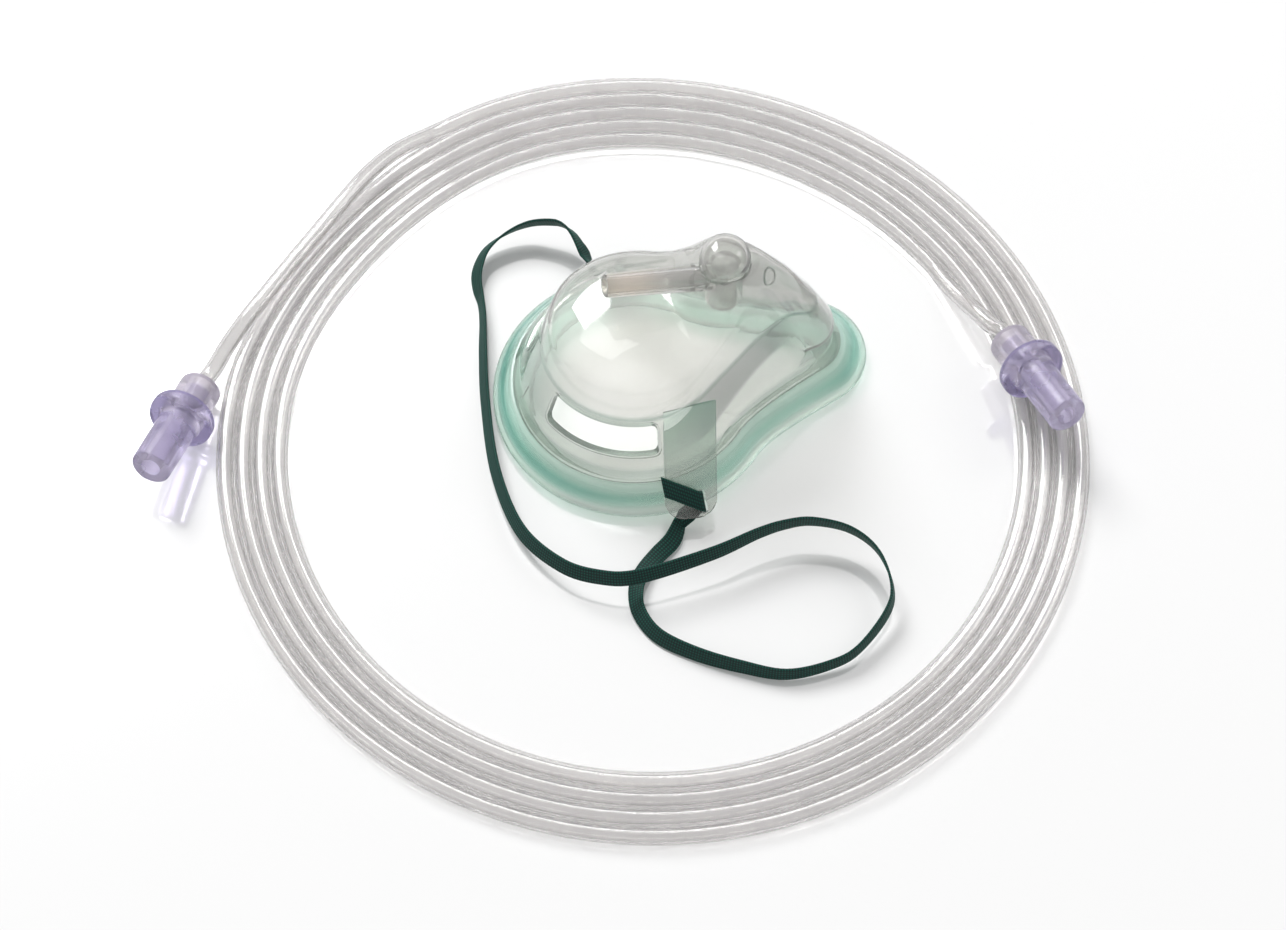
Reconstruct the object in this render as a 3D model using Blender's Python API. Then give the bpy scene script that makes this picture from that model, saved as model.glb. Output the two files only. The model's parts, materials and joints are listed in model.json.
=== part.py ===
"""Clear oxygen face mask with its soft face seal, elastic head strap and coiled supply tube.

Metres, +Z up. The mask lies seal down. The origin is at the middle of its base, +X runs from
chin to nose, and the near side of the mask is -Y.
"""

from math import atan2, ceil, cos, hypot, pi, radians, sin, tan

import bmesh
import bpy
import numpy as np
from mathutils import Matrix, Vector

MM = 0.001
GAP = 0.3 * MM                 # left between pieces that touch

# Face seal: a chin circle and a nose circle joined by dented cheeks
CHIN_X = -13.75 * MM           # centre of the chin circle
CHIN_R = 40.0 * MM
CHIN_SWEEP = radians(133)      # how far the chin arc runs from the tip of the chin
NOSE_X = 35.95 * MM
NOSE_R = 17.8 * MM
NOSE_SWEEP = radians(70)
NOSE_BACK = 2.0 * MM           # extra inset of the rim at the tip of the nose
CHEEK_PULL = 0.8               # share of the span that the cheek keeps the arcs' directions
SEAL_H = 9.8 * MM              # table to the top of the seal
SEAL_WALL = 1.5 * MM
SEAL_ROLL_H = 2.6 * MM         # height of the widest line
SEAL_CREASE_IN = 2.4 * MM      # the fold half way up, measured in from the widest line
SEAL_CREASE_H = 5.4 * MM
SEAL_FOOT_IN = 2.2 * MM        # flat band that rests on the table
SEAL_FOOT_W = 3.6 * MM
SEAL_LIP_IN = 12.0 * MM        # inner edge of the turned-in lip
SEAL_LIP_H = 3.0 * MM

# Clear shell
WALL = 1.2 * MM
RIM_IN = 6.0 * MM              # shell rim, measured in from the widest line of the seal
FLARE_H = 3.2 * MM             # height of the outward flare above the rim
FLARE_IN = 2.2 * MM
LEDGE_R = 25.8 * MM            # fold between the cup and the stepped side wall
LEDGE_SWEEP = radians(124)
LEDGE_NOSE_X = 30.0 * MM
LEDGE_NOSE_R = 7.6 * MM
LEDGE_NOSE_SWEEP = radians(66)
LEDGE_H = 29.5 * MM            # round the chin
LEDGE_PEAK_H = 39.5 * MM       # where the stepped wall stops
LEDGE_TIP_H = 32.0 * MM        # on the nose ridge
LEDGE_RISE_FROM_X = -2.0 * MM
LEDGE_RISE_TO_X = 26.0 * MM
STEP_H = 12.2 * MM             # height of the stepped wall below the ledge
STEP_OUT = 4.2 * MM            # how far its foot stands out round the chin
STEP_END = 0.72                # share of the cheek at which the step stops
STEP_END_RUN = 0.035
FLANK_H = 0.45                 # where the plain nose flank is pinned between rim and ledge
FLANK_BULGE = 1.2 * MM
CROWN_X = (-13.75 * MM, 12.0 * MM)   # ends of the ridge line that closes the cup
CROWN_H = (45.0 * MM, 58.0 * MM)
CROWN_RISE_X = (-3.5 * MM, 14.3 * MM)
CROWN_POWER = (3.0, 2.45)      # roundness of the cup at the chin and at the nose
CROWN_FULLNESS = (0.42, 1.2)
CROWN_CHANGE_X = (5.0 * MM, 30.0 * MM)

# Turret and the spigot for the supply tube
TURRET_X = 11.0 * MM
TURRET_R = 6.9 * MM
TURRET_TOP = 64.5 * MM
TURRET_ROUND = 5.2 * MM
NECK_LIFT = 3.6 * MM           # the cup rises to the turret in a flared neck
NECK_REACH = (6.4 * MM, 18.0 * MM)
COLLAR_H = 42.0 * MM           # lower end of the collar that hangs inside the cup
SPIGOT_L = 33.6 * MM           # from the turret's axis to the free end
SPIGOT_ROOT_H = 51.6 * MM
SPIGOT_TILT = radians(12.5)    # free end raised
SPIGOT_ROOT_R = 4.0 * MM
SPIGOT_TIP_R = 3.15 * MM
SPIGOT_BORE_R = 2.1 * MM
GATE_X = 23.8 * MM             # round moulding mark on the nose ridge
GATE_R = 2.5 * MM
GATE_RISE = 0.35 * MM
GATE_ROOT = 0.9 * MM           # how far the mark's disc is set into the wall

# Side ports, one in each stepped wall
PORT_FROM = radians(22)        # angles about the chin circle's centre, from the chin's tip
PORT_TO = radians(88)
PORT_SILL = 1.0 * MM           # wall left above the foot of the step
PORT_HEAD = 1.6 * MM           # wall left under the ledge
PORT_CORNER = 0.8 * MM
PORT_CLEAR = 4.0 * MM          # how far the cut runs past the wall on each side

# Strap lugs, one strip on each side, from the ledge over the seal
LUG_W = 14.4 * MM
LUG_T = 1.3 * MM
LUG_TOP_X = -5.2 * MM          # middle of the lug where it leaves the ledge
LUG_TOP_IN = 0.9 * MM          # in from the ledge's chin circle
LUG_TOP_DROP = 0.4 * MM        # below the ledge
LUG_END_X = -9.8 * MM          # middle of its lower end
LUG_END_OUT = 4.6 * MM         # out past the seal's chin circle
LUG_END_H = 5.5 * MM
FAR_LUG_PULL = 2.7 * MM        # the strap draws the far lug's end to the chin
FAR_LUG_TUCK = 1.2 * MM        # and in to the seal
LUG_SKEW = 2.0 * MM            # extra length at the top on the nose side, along the ledge
LUG_CORNER = 5.5 * MM
SLOT_ACROSS = 3.4 * MM         # from the middle of the lug's lower end
SLOT_UP = 4.6 * MM
SLOT_W = 1.8 * MM
SLOT_TURN = radians(10)
SLOT_CLEAR = 0.3 * MM          # at each end of the folded strap

# Head strap, a woven elastic ribbon
STRAP_W = 5.0 * MM
STRAP_T = 0.7 * MM
STRAP_FOLD = radians(36)       # the strap's slant where it folds through the slot
STRAP_TAIL = 10.2 * MM
FAR_STRAP_TAIL = 6.0 * MM
STRAP_UNDER = 6.5 * MM         # straight run under the lug
STRAP_SAG = 1.5 * MM           # drop from the lug at the end of that run

# Supply tube, wound four times and a bit, lying flat
TUBE_D = 5.0 * MM
COIL_X = -12.5 * MM            # centre of the coil
COIL_Y = -14.8 * MM
COIL_R = 111.4 * MM            # middle of the four turns that lie side by side
COIL_TURNS = 4
PHOTO_TURN = radians(15)       # the mask's axis against the picture's horizontal
LEAD_IN_ANGLE = radians(120)   # where the left end joins the turns, in the picture
LEAD_OUT_ANGLE = radians(38)   # where the right end leaves them
COIL_DENT = 2.0 * MM
COIL_DENT_ANGLE = radians(142)
COIL_DENT_SPREAD = radians(34)
LEAD_STRAIGHT = 5.0 * MM       # straight run where a loose end meets the turns or a connector

# Tube connectors
CONNECTOR_L = 34.0 * MM
SOCKET_R = 6.0 * MM
SOCKET_ROUND = 1.2 * MM
FLANGE_AT = 13.2 * MM          # socket end to the middle of the flange
FLANGE_R = 9.2 * MM
FLANGE_T = 3.8 * MM
FLANGE_EDGE = 1.1 * MM
BARREL_R = 5.7 * MM
MOUTH_R = 5.5 * MM
MOUTH_BORE_R = 3.9 * MM
BORE_END_R = 3.2 * MM
BORE_DEPTH = 21.0 * MM
TUBE_BORE_R = 1.6 * MM
# Socket end in polar form about the coil (picture angle, radius), heading in the picture
LEFT_CONNECTOR = (radians(173.9), 127.3 * MM, radians(-107.1))
RIGHT_CONNECTOR = (radians(14.5), 103.3 * MM, radians(-67.2))

# Routes of the two tube ends about the coil: picture angle in degrees, radius and height in mm
LEFT_LEAD = (
    (170.6, 125.4, 4.6), (166.6, 122.9, 6.1), (162.6, 120.2, 7.8), (158, 118.2, 8.0),
    (152.5, 116.9, 8.0), (146, 116.6, 8.0), (140, 117.8, 7.9), (134, 120.3, 7.0),
    (128, 122.8, 4.7),
)
RIGHT_LEAD = (
    (31, 98.4, 3.3), (26, 98.6, 5.6), (21.5, 99.5, 8.0),
    (18, 100.9, 9.7),
)

# Strap route in mm, far lug to near lug, with the lean of the ribbon's upper edge to the right
# of the way it runs, in degrees
STRAP_ROUTE = (
    (-16.0, 47.6, 4.6, -44), (-16.8, 49.5, 6.2, -34),
    (-18.0, 53.2, 7.8, -22), (-20.1, 56.3, 8.6, -14), (-22.9, 58.2, 8.6, -12),
    (-29.3, 60.4, 7.2, -14),
    (-36.5, 59.8, 5.8, -18), (-43.2, 56.8, 4.4, -24), (-47.2, 51.3, 3.4, -24),
    (-48.5, 46.0, 2.8, -16), (-48.6, 40.8, 2.7, -14), (-49.6, 34.3, 2.7, -20),
    (-51.9, 24.4, 2.7, -23), (-55.1, 8.1, 2.7, -23), (-57.6, -15.0, 3.2, -23),
    (-55.5, -35.7, 4.6, -23), (-47.7, -49.9, 6.6, -24), (-38.5, -57.0, 8.0, -24),
    (-28.3, -60.0, 9.0, -24), (-7.9, -59.0, 10.2, -18), (5.5, -56.6, 10.8, -8),
    (13.4, -56.0, 11.0, -2), (20.8, -57.0, 11.0, 3), (29.9, -61.6, 10.2, 8),
    (35.5, -69.3, 9.0, 12), (36.4, -79.1, 7.2, 13), (33.1, -85.8, 5.8, 12),
    (23.1, -93.4, 4.2, 6), (14.8, -95.6, 3.3, 5), (2.5, -95.1, 2.8, 8),
    (-8.6, -89.7, 2.7, 16), (-19.3, -82.8, 2.6, 24), (-27.4, -75.1, 2.4, 32),
    (-30.4, -66.8, 2.2, 42), (-29.3, -59.8, 1.9, 58), (-26.2, -55.3, 1.7, 76),
    (-20.9, -51.3, 1.7, 96), (-15.8, -48.0, 2.2, 114),
)

# Facets
CHIN_STEPS = 20
CHEEK_STEPS = 11
NOSE_STEPS = 9
TURN_SEGMENTS = 28
COIL_STEP = radians(6)


def clear_scene():
    for obj in list(bpy.data.objects):
        bpy.data.objects.remove(obj, do_unlink=True)


def material(name, colour, roughness, transmission=0.0, alpha=1.0):
    made = bpy.data.materials.new(name)
    made.use_nodes = True
    shader = made.node_tree.nodes["Principled BSDF"]
    shader.inputs["Base Color"].default_value = (*colour, 1.0)
    shader.inputs["Roughness"].default_value = roughness
    shader.inputs["Metallic"].default_value = 0.0
    shader.inputs["Transmission Weight"].default_value = transmission
    shader.inputs["Alpha"].default_value = alpha
    made.diffuse_color = (*colour, alpha)
    return made


def object_from(name, mesh_maker, finish):
    """An object whose mesh is what mesh_maker adds to an empty bmesh, faces outward."""
    bm = bmesh.new()
    mesh_maker(bm)
    bmesh.ops.recalc_face_normals(bm, faces=bm.faces)
    mesh = bpy.data.meshes.new(name)
    bm.to_mesh(mesh)
    bm.free()
    mesh.shade_smooth()
    mesh.set_sharp_from_angle(angle=radians(32))
    mesh.materials.append(finish)
    obj = bpy.data.objects.new(name, mesh)
    bpy.context.scene.collection.objects.link(obj)
    return obj


def boolean(target, tool, operation):
    """Joins or cuts with a hidden helper object."""
    tool.hide_render = True
    tool.display_type = "WIRE"
    step = target.modifiers.new(tool.name, "BOOLEAN")
    step.object = tool
    step.operation = operation
    step.solver = "EXACT"


def smooth_step(value, start, end):
    share = min(max((value - start) / (end - start), 0.0), 1.0)
    return share * share * (3 - 2 * share)


def egg(chin_x, chin_r, chin_sweep, nose_x, nose_r, nose_sweep):
    """Half outline on the near side from the chin's tip to the nose's tip.

    A chin arc and a nose arc are joined by a cubic cheek that keeps both arcs' directions.
    """
    points = []
    for i in range(CHIN_STEPS):
        a = chin_sweep * i / CHIN_STEPS
        points.append(Vector((chin_x - chin_r * cos(a), -chin_r * sin(a))))
    start = Vector((chin_x - chin_r * cos(chin_sweep), -chin_r * sin(chin_sweep)))
    end = Vector((nose_x + nose_r * cos(nose_sweep), -nose_r * sin(nose_sweep)))
    pull = (end - start).length * CHEEK_PULL
    leave = Vector((sin(chin_sweep), -cos(chin_sweep))) * pull
    arrive = Vector((sin(nose_sweep), cos(nose_sweep))) * pull
    for t in CHEEK_SHARES:
        points.append(
            start * (2 * t**3 - 3 * t**2 + 1)
            + leave * (t**3 - 2 * t**2 + t)
            + end * (3 * t**2 - 2 * t**3)
            + arrive * (t**3 - t**2)
        )
    for i in range(NOSE_STEPS + 1):
        b = nose_sweep * (1 - i / NOSE_STEPS)
        points.append(Vector((nose_x + nose_r * cos(b), -nose_r * sin(b))))
    return points


def cheek_shares():
    """Even shares of the cheek, with a close pair where the step in the wall stops."""
    even = [i / CHEEK_STEPS for i in range(CHEEK_STEPS)]
    keep = [t for t in even if not STEP_END - 0.05 < t < STEP_END + STEP_END_RUN + 0.03]
    return sorted(keep + [STEP_END, STEP_END + STEP_END_RUN])


CHEEK_SHARES = cheek_shares()
STEP_END_COLUMN = CHIN_STEPS + CHEEK_SHARES.index(STEP_END)


def seal_outline(inset):
    """The widest line of the seal, moved in evenly."""
    back = NOSE_BACK * inset / RIM_IN
    return egg(CHIN_X, CHIN_R - inset, CHIN_SWEEP, NOSE_X - back, NOSE_R - inset, NOSE_SWEEP)


def ledge_plan():
    return egg(CHIN_X, LEDGE_R, LEDGE_SWEEP, LEDGE_NOSE_X, LEDGE_NOSE_R, LEDGE_NOSE_SWEEP)


def ledge_height(x):
    rise = smooth_step(x, LEDGE_RISE_FROM_X, LEDGE_RISE_TO_X)
    fall = smooth_step(x, LEDGE_RISE_TO_X, LEDGE_NOSE_X + LEDGE_NOSE_R)
    return LEDGE_H + (LEDGE_PEAK_H - LEDGE_H) * rise - (LEDGE_PEAK_H - LEDGE_TIP_H) * fall


def crown_point(plan):
    """The point of the ridge line that a column of the cup closes on."""
    x = min(max(plan.x, CROWN_X[0]), CROWN_X[1])
    z = CROWN_H[0] + (CROWN_H[1] - CROWN_H[0]) * smooth_step(x, *CROWN_RISE_X)
    return Vector((x, 0, z))


def shell_column(index, rim, flare, ledge):
    """Points of the shell's outer face, rim to crown, on one near-side column."""
    rim_z = SEAL_H + 2 * GAP
    top = Vector((ledge[index].x, ledge[index].y, ledge_height(ledge[index].x)))
    foot_z = top.z - STEP_H
    if index <= STEP_END_COLUMN:
        chin_share = 1 - smooth_step(ledge[index].x, CHIN_X, LEDGE_RISE_TO_X)
        outward = (rim[index] - ledge[index]).normalized()
        foot = ledge[index] + outward * (STEP_OUT * chin_share + 0.4 * MM)
    else:
        outward = (rim[index] - ledge[index]).normalized()
        foot = rim[index].lerp(ledge[index], FLANK_H) + outward * FLANK_BULGE
        foot_z = rim_z + (top.z - rim_z) * FLANK_H
    points = [
        Vector((*rim[index], rim_z)),
        Vector((*flare[index], rim_z + FLARE_H)),
        Vector((*foot, foot_z)),
        top,
    ]
    crown = crown_point(ledge[index])
    change = smooth_step(top.x, *CROWN_CHANGE_X)
    power = CROWN_POWER[0] + (CROWN_POWER[1] - CROWN_POWER[0]) * change
    fullness = CROWN_FULLNESS[0] + (CROWN_FULLNESS[1] - CROWN_FULLNESS[0]) * change
    for share in CUP_SHARES:
        height = top.z + (crown.z - top.z) * (1 - share**power) ** fullness
        flat = crown.lerp(top, share)
        points.append(Vector((flat.x, flat.y, height)))
    points.append(crown)
    for point in points:
        away = hypot(point.x - TURRET_X, point.y)
        point.z += NECK_LIFT * (1 - smooth_step(away, *NECK_REACH)) ** 1.5
    return points


CUP_SHARES = (0.96, 0.88, 0.77, 0.64, 0.5, 0.35, 0.19)


def add_shell_skin(bm):
    """Outer face of the shell as an open skin, in near and far columns that share the ridge."""
    rim = seal_outline(RIM_IN)
    flare = seal_outline(RIM_IN + FLARE_IN)
    ledge = ledge_plan()
    last = len(rim) - 1
    made = {}

    def vert(point):
        key = tuple(round(v / MM, 4) for v in point)
        if key not in made:
            made[key] = bm.verts.new(point)
        return made[key]

    columns = []
    for index in range(last + 1):
        columns.append([vert(p) for p in shell_column(index, rim, flare, ledge)])
    for index in range(last - 1, 0, -1):
        far = [Vector((p.x, -p.y, p.z)) for p in shell_column(index, rim, flare, ledge)]
        columns.append([vert(p) for p in far])
    for i, column in enumerate(columns):
        following = columns[(i + 1) % len(columns)]
        for low in range(len(column) - 1):
            corners = [column[low], following[low], following[low + 1], column[low + 1]]
            face = []
            for corner in corners:
                if corner not in face:
                    face.append(corner)
            if len(face) > 2:
                bm.faces.new(face)


def add_shell(bm):
    """The shell's wall: the outer skin and a copy of it moved in by the wall."""
    add_shell_skin(bm)
    bmesh.ops.recalc_face_normals(bm, faces=bm.faces)
    bm.normal_update()
    if sum(f.normal.z for f in bm.faces) < 0:
        bmesh.ops.reverse_faces(bm, faces=bm.faces)
        bm.normal_update()
    outer = list(bm.verts)
    rim_z = min(v.co.z for v in outer)
    inner = {}
    for v in outer:
        n = v.normal.copy()
        if v.co.z < rim_z + 1e-6:
            n.z = 0
            n.normalize()
        inner[v] = bm.verts.new(v.co - n * WALL)
    for face in list(bm.faces):
        bm.faces.new([inner[v] for v in reversed(face.verts)])
    for edge in [e for e in bm.edges if len(e.link_faces) == 1]:
        a, b = edge.verts
        if a in inner and b in inner:
            bm.faces.new([a, b, inner[b], inner[a]])


def add_turned(bm, profile, place=Matrix()):
    """A closed solid turned about Z. The profile (radius, height) starts and ends on the axis."""
    rings = []
    for radius, height in profile:
        if radius < 1e-7:
            rings.append([bm.verts.new(place @ Vector((0, 0, height)))])
            continue
        ring = []
        for i in range(TURN_SEGMENTS):
            a = 2 * pi * (i + 0.5) / TURN_SEGMENTS
            ring.append(bm.verts.new(place @ Vector((radius * cos(a), radius * sin(a), height))))
        rings.append(ring)
    for below, above in zip(rings, rings[1:]):
        for i in range(TURN_SEGMENTS):
            j = (i + 1) % TURN_SEGMENTS
            corners = [below[i % len(below)], below[j % len(below)]]
            corners += [above[j % len(above)], above[i % len(above)]]
            face = []
            for corner in corners:
                if corner not in face:
                    face.append(corner)
            bm.faces.new(face)


def rounded_cap(radius, top, rounding, steps=5):
    """Profile points from the side of a cylinder over a rounded edge to the axis."""
    points = []
    for i in range(steps + 1):
        a = pi / 2 * i / steps
        points.append((radius - rounding + rounding * cos(a), top - rounding + rounding * sin(a)))
    points.append((0, top))
    return points


def ridge_at(x):
    """Place on the nose ridge at a given x, and how steeply it falls there."""
    rim = seal_outline(RIM_IN)
    ledge = ledge_plan()
    tip = shell_column(len(ledge) - 1, rim, rim, ledge)
    tip.reverse()
    for high, low in zip(tip, tip[1:]):
        if high.x <= x <= low.x:
            place = high.lerp(low, (x - high.x) / (low.x - high.x))
            return place, atan2(high.z - low.z, low.x - high.x)
    return tip[0], 0.0


def spigot_place():
    """Local Z along the spigot, from the turret's axis to the free end."""
    direction = Vector((-cos(SPIGOT_TILT), 0, sin(SPIGOT_TILT)))
    turn = direction.to_track_quat("Z", "Y").to_matrix().to_4x4()
    return Matrix.Translation((TURRET_X, 0, SPIGOT_ROOT_H)) @ turn


def port_cutter(bm, side):
    """A curved block about the chin circle's centre, through the stepped wall."""
    low = LEDGE_H - STEP_H + PORT_SILL
    high = LEDGE_H - PORT_HEAD
    inner = LEDGE_R - WALL - PORT_CLEAR
    outer = LEDGE_R + STEP_OUT + PORT_CLEAR
    steps = 10
    rows = []
    for i in range(steps + 1):
        a = PORT_FROM + (PORT_TO - PORT_FROM) * i / steps
        corner = PORT_CORNER if i in (0, steps) else 0
        sill = low + corner
        head = high - corner
        row = []
        for r, z in ((inner, sill), (outer, sill), (outer, head), (inner, head)):
            row.append(bm.verts.new((CHIN_X - r * cos(a), side * r * sin(a), z)))
        rows.append(row)
    for a, b in zip(rows, rows[1:]):
        for i in range(4):
            j = (i + 1) % 4
            bm.faces.new([a[i], a[j], b[j], b[i]])
    bm.faces.new(rows[0])
    bm.faces.new(rows[-1])


def lug_place(side):
    """Local Y runs down the lug from the ledge, local X along the mask, local Z out of it."""
    top = Vector((LUG_TOP_X, side * (LEDGE_R - LUG_TOP_IN), LEDGE_H - LUG_TOP_DROP))
    pull, tuck = (FAR_LUG_PULL, FAR_LUG_TUCK) if side > 0 else (0.0, 0.0)
    end = Vector((LUG_END_X - pull, side * (CHIN_R + LUG_END_OUT - tuck), LUG_END_H))
    down = (end - top).normalized()
    across = Vector((1, 0, 0))
    across = (across - down * across.dot(down)).normalized()
    out = across.cross(down)
    if out.z < 0:
        out.negate()
    place = Matrix((across, down, out)).transposed().to_4x4()
    place.translation = top
    return place, (end - top).length


def add_plate(bm, outline, thickness, place):
    """An outline in local XY made a plate, centred on local Z = 0."""
    layers = []
    for z in (-thickness / 2, thickness / 2):
        layers.append([bm.verts.new(place @ Vector((x, y, z))) for x, y in outline])
    count = len(outline)
    for i in range(count):
        j = (i + 1) % count
        bm.faces.new([layers[0][i], layers[0][j], layers[1][j], layers[1][i]])
    bm.faces.new(layers[0])
    bm.faces.new(layers[1])


def lug_outline(length):
    half = LUG_W / 2
    side = [(-half, length - LUG_CORNER)]
    for i in range(1, 5):
        a = pi / 2 * i / 5
        side.append((-half + LUG_CORNER * (1 - cos(a)), length - LUG_CORNER * (1 - sin(a))))
    side.append((-half + LUG_CORNER, length))
    return [(-half, 0), *side, *[(-x, y) for x, y in reversed(side)], (half, -LUG_SKEW)]


def slot_frame(length):
    """Middle of the slot on the lug, the way along the slot and the way out of it to the chin."""
    middle = Vector((SLOT_ACROSS, length - SLOT_UP))
    along = Vector((sin(SLOT_TURN), cos(SLOT_TURN)))
    return middle, along, Vector((-along.y, along.x))


def slot_outline(length):
    middle, along, across = slot_frame(length)
    half_l = along * (STRAP_W / 2 / cos(STRAP_FOLD) + SLOT_CLEAR)
    half_w = across * SLOT_W / 2
    corners = (-half_l - half_w, half_l - half_w, half_l + half_w, half_w - half_l)
    return [tuple(middle + corner) for corner in corners]


def make_mask_shell(clear):
    shell = object_from("mask_shell", add_shell, clear)
    at = Matrix.Translation((TURRET_X, 0, 0))

    gate_at, gate_slope = ridge_at(GATE_X)
    gate_place = Matrix.Translation(gate_at) @ Matrix.Rotation(gate_slope, 4, "Y")
    gate_profile = [(0, -GATE_ROOT), (GATE_R, -GATE_ROOT), (GATE_R, GATE_RISE), (0, GATE_RISE)]
    gate = object_from("gate_form", lambda bm: add_turned(bm, gate_profile, gate_place), clear)
    boolean(shell, gate, "UNION")

    for side, name in ((-1, "near"), (1, "far")):
        lug_at, length = lug_place(side)
        lug = object_from(
            f"lug_{name}_form",
            lambda bm, at=lug_at, l=length: add_plate(bm, lug_outline(l), LUG_T, at),
            clear,
        )
        boolean(shell, lug, "UNION")
        slot = object_from(
            f"slot_{name}_cut",
            lambda bm, at=lug_at, l=length: add_plate(bm, slot_outline(l), 4 * LUG_T, at),
            clear,
        )
        boolean(shell, slot, "DIFFERENCE")
        port = object_from(f"port_{name}_cut", lambda bm, s=side: port_cutter(bm, s), clear)
        boolean(shell, port, "DIFFERENCE")

    cap = rounded_cap(TURRET_R, TURRET_TOP, TURRET_ROUND)
    turret = object_from(
        "turret_form",
        lambda bm: add_turned(bm, [(0, COLLAR_H), (TURRET_R, COLLAR_H), *cap], at),
        clear,
    )
    boolean(shell, turret, "UNION")

    place = spigot_place()
    spigot_profile = [(0, 0), (SPIGOT_ROOT_R, 0), (SPIGOT_TIP_R, SPIGOT_L), (0, SPIGOT_L)]
    spigot = object_from("spigot_form", lambda bm: add_turned(bm, spigot_profile, place), clear)
    boolean(shell, spigot, "UNION")

    inside = rounded_cap(TURRET_R - WALL, TURRET_TOP - WALL, TURRET_ROUND - WALL)
    hollow_profile = [(0, COLLAR_H - 2 * WALL), (TURRET_R - WALL, COLLAR_H - 2 * WALL), *inside]
    hollow = object_from("turret_hollow", lambda bm: add_turned(bm, hollow_profile, at), clear)
    boolean(shell, hollow, "DIFFERENCE")

    bore_end = SPIGOT_L + 2 * MM
    bore_profile = [(0, 0), (SPIGOT_BORE_R, 0), (SPIGOT_BORE_R, bore_end), (0, bore_end)]
    bore = object_from("spigot_bore", lambda bm: add_turned(bm, bore_profile, place), clear)
    boolean(shell, bore, "DIFFERENCE")
    return shell


def seal_section():
    """Closed section of the seal as (inset, height), round the outside and back inside."""
    foot_end = SEAL_FOOT_IN + SEAL_FOOT_W
    top_in = RIM_IN - 1.0 * MM
    return [
        (top_in, SEAL_H),
        (SEAL_CREASE_IN, SEAL_CREASE_H),
        (0.3 * MM, SEAL_ROLL_H + 1.3 * MM),
        (0, SEAL_ROLL_H),
        (0.6 * MM, 0.8 * MM),
        (SEAL_FOOT_IN, 0),
        (foot_end, 0),
        (SEAL_LIP_IN - 2.5 * MM, SEAL_LIP_H - 2.0 * MM),
        (SEAL_LIP_IN, SEAL_LIP_H),
        (SEAL_LIP_IN - 1.2 * MM, SEAL_LIP_H + 0.6 * MM),
        (foot_end + 0.2 * MM, SEAL_WALL),
        (SEAL_FOOT_IN + 0.5 * MM, SEAL_WALL + 0.2 * MM),
        (SEAL_WALL + 0.1 * MM, SEAL_ROLL_H + 0.4 * MM),
        (SEAL_CREASE_IN + SEAL_WALL, SEAL_CREASE_H - 0.5 * MM),
        (top_in + SEAL_WALL + 0.9 * MM, SEAL_H - 1.2 * MM),
        (top_in + SEAL_WALL + 0.9 * MM, SEAL_H),
    ]


def add_seal(bm):
    loops = []
    for inset, height in seal_section():
        half = seal_outline(inset)
        whole = half + [Vector((p.x, -p.y)) for p in half[-2:0:-1]]
        loops.append([bm.verts.new((p.x, p.y, height)) for p in whole])
    count = len(loops[0])
    for a, b in zip(loops, loops[1:] + loops[:1]):
        for i in range(count):
            j = (i + 1) % count
            bm.faces.new([a[i], a[j], b[j], b[i]])


def curve_through(rows, spacing):
    """Rows at about even spacing on a smooth curve through the given rows.

    The first three numbers of a row are its place. Any others are carried along.
    """
    rows = np.array(rows)
    ends = np.vstack([2 * rows[0] - rows[1], rows, 2 * rows[-1] - rows[-2]])
    fine = []
    for p0, p1, p2, p3 in zip(ends, ends[1:], ends[2:], ends[3:]):
        for t in np.arange(12) / 12:
            bend = (2 * p0 - 5 * p1 + 4 * p2 - p3) * t**2 + (3 * p1 - p0 - 3 * p2 + p3) * t**3
            fine.append((2 * p1 + (p2 - p0) * t + bend) / 2)
    fine = np.array([*fine, rows[-1]])
    walked = np.cumsum([0, *np.linalg.norm(np.diff(fine[:, :3], axis=0), axis=1)])
    wanted = np.linspace(0, walked[-1], max(2, round(walked[-1] / spacing)) + 1)
    return np.column_stack([np.interp(wanted, walked, column) for column in fine.T])


def strap_half_width(along, lean):
    """From the ribbon's middle to its upper edge. The lean is from upright to the right."""
    right = along.cross(Vector((0, 0, 1))).normalized()
    up = right.cross(along).normalized()
    return (up * cos(lean) + right * sin(lean)) * STRAP_W / 2


def strap_through_lug(side):
    """Stations (middle, half width) from the tail on a lug through its slot to its underside."""
    place, length = lug_place(side)
    middle, along, across = slot_frame(length)
    off = LUG_T / 2 + GAP + STRAP_T / 2
    bend = SLOT_W / 2
    tail = FAR_STRAP_TAIL if side > 0 else STRAP_TAIL
    path = [(tail, off), (tail / 2, off)]
    for a in (0, 30, 60, 90):
        path.append((bend * (1 - sin(radians(a))), off - bend * (1 - cos(radians(a)))))
    path += [(t, -z) for t, z in reversed(path[2:])]
    path += [(STRAP_UNDER / 2, -off), (STRAP_UNDER, -off - STRAP_SAG)]
    half = place.to_3x3() @ Vector((*along, 0)) * (STRAP_W / 2 / cos(STRAP_FOLD))
    stations = []
    for t, z in path:
        slant = t * tan(STRAP_FOLD) * (-1 if z > 0 else 1)
        stations.append((place @ Vector((*(middle + across * t + along * slant), z)), half))
    return stations


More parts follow.
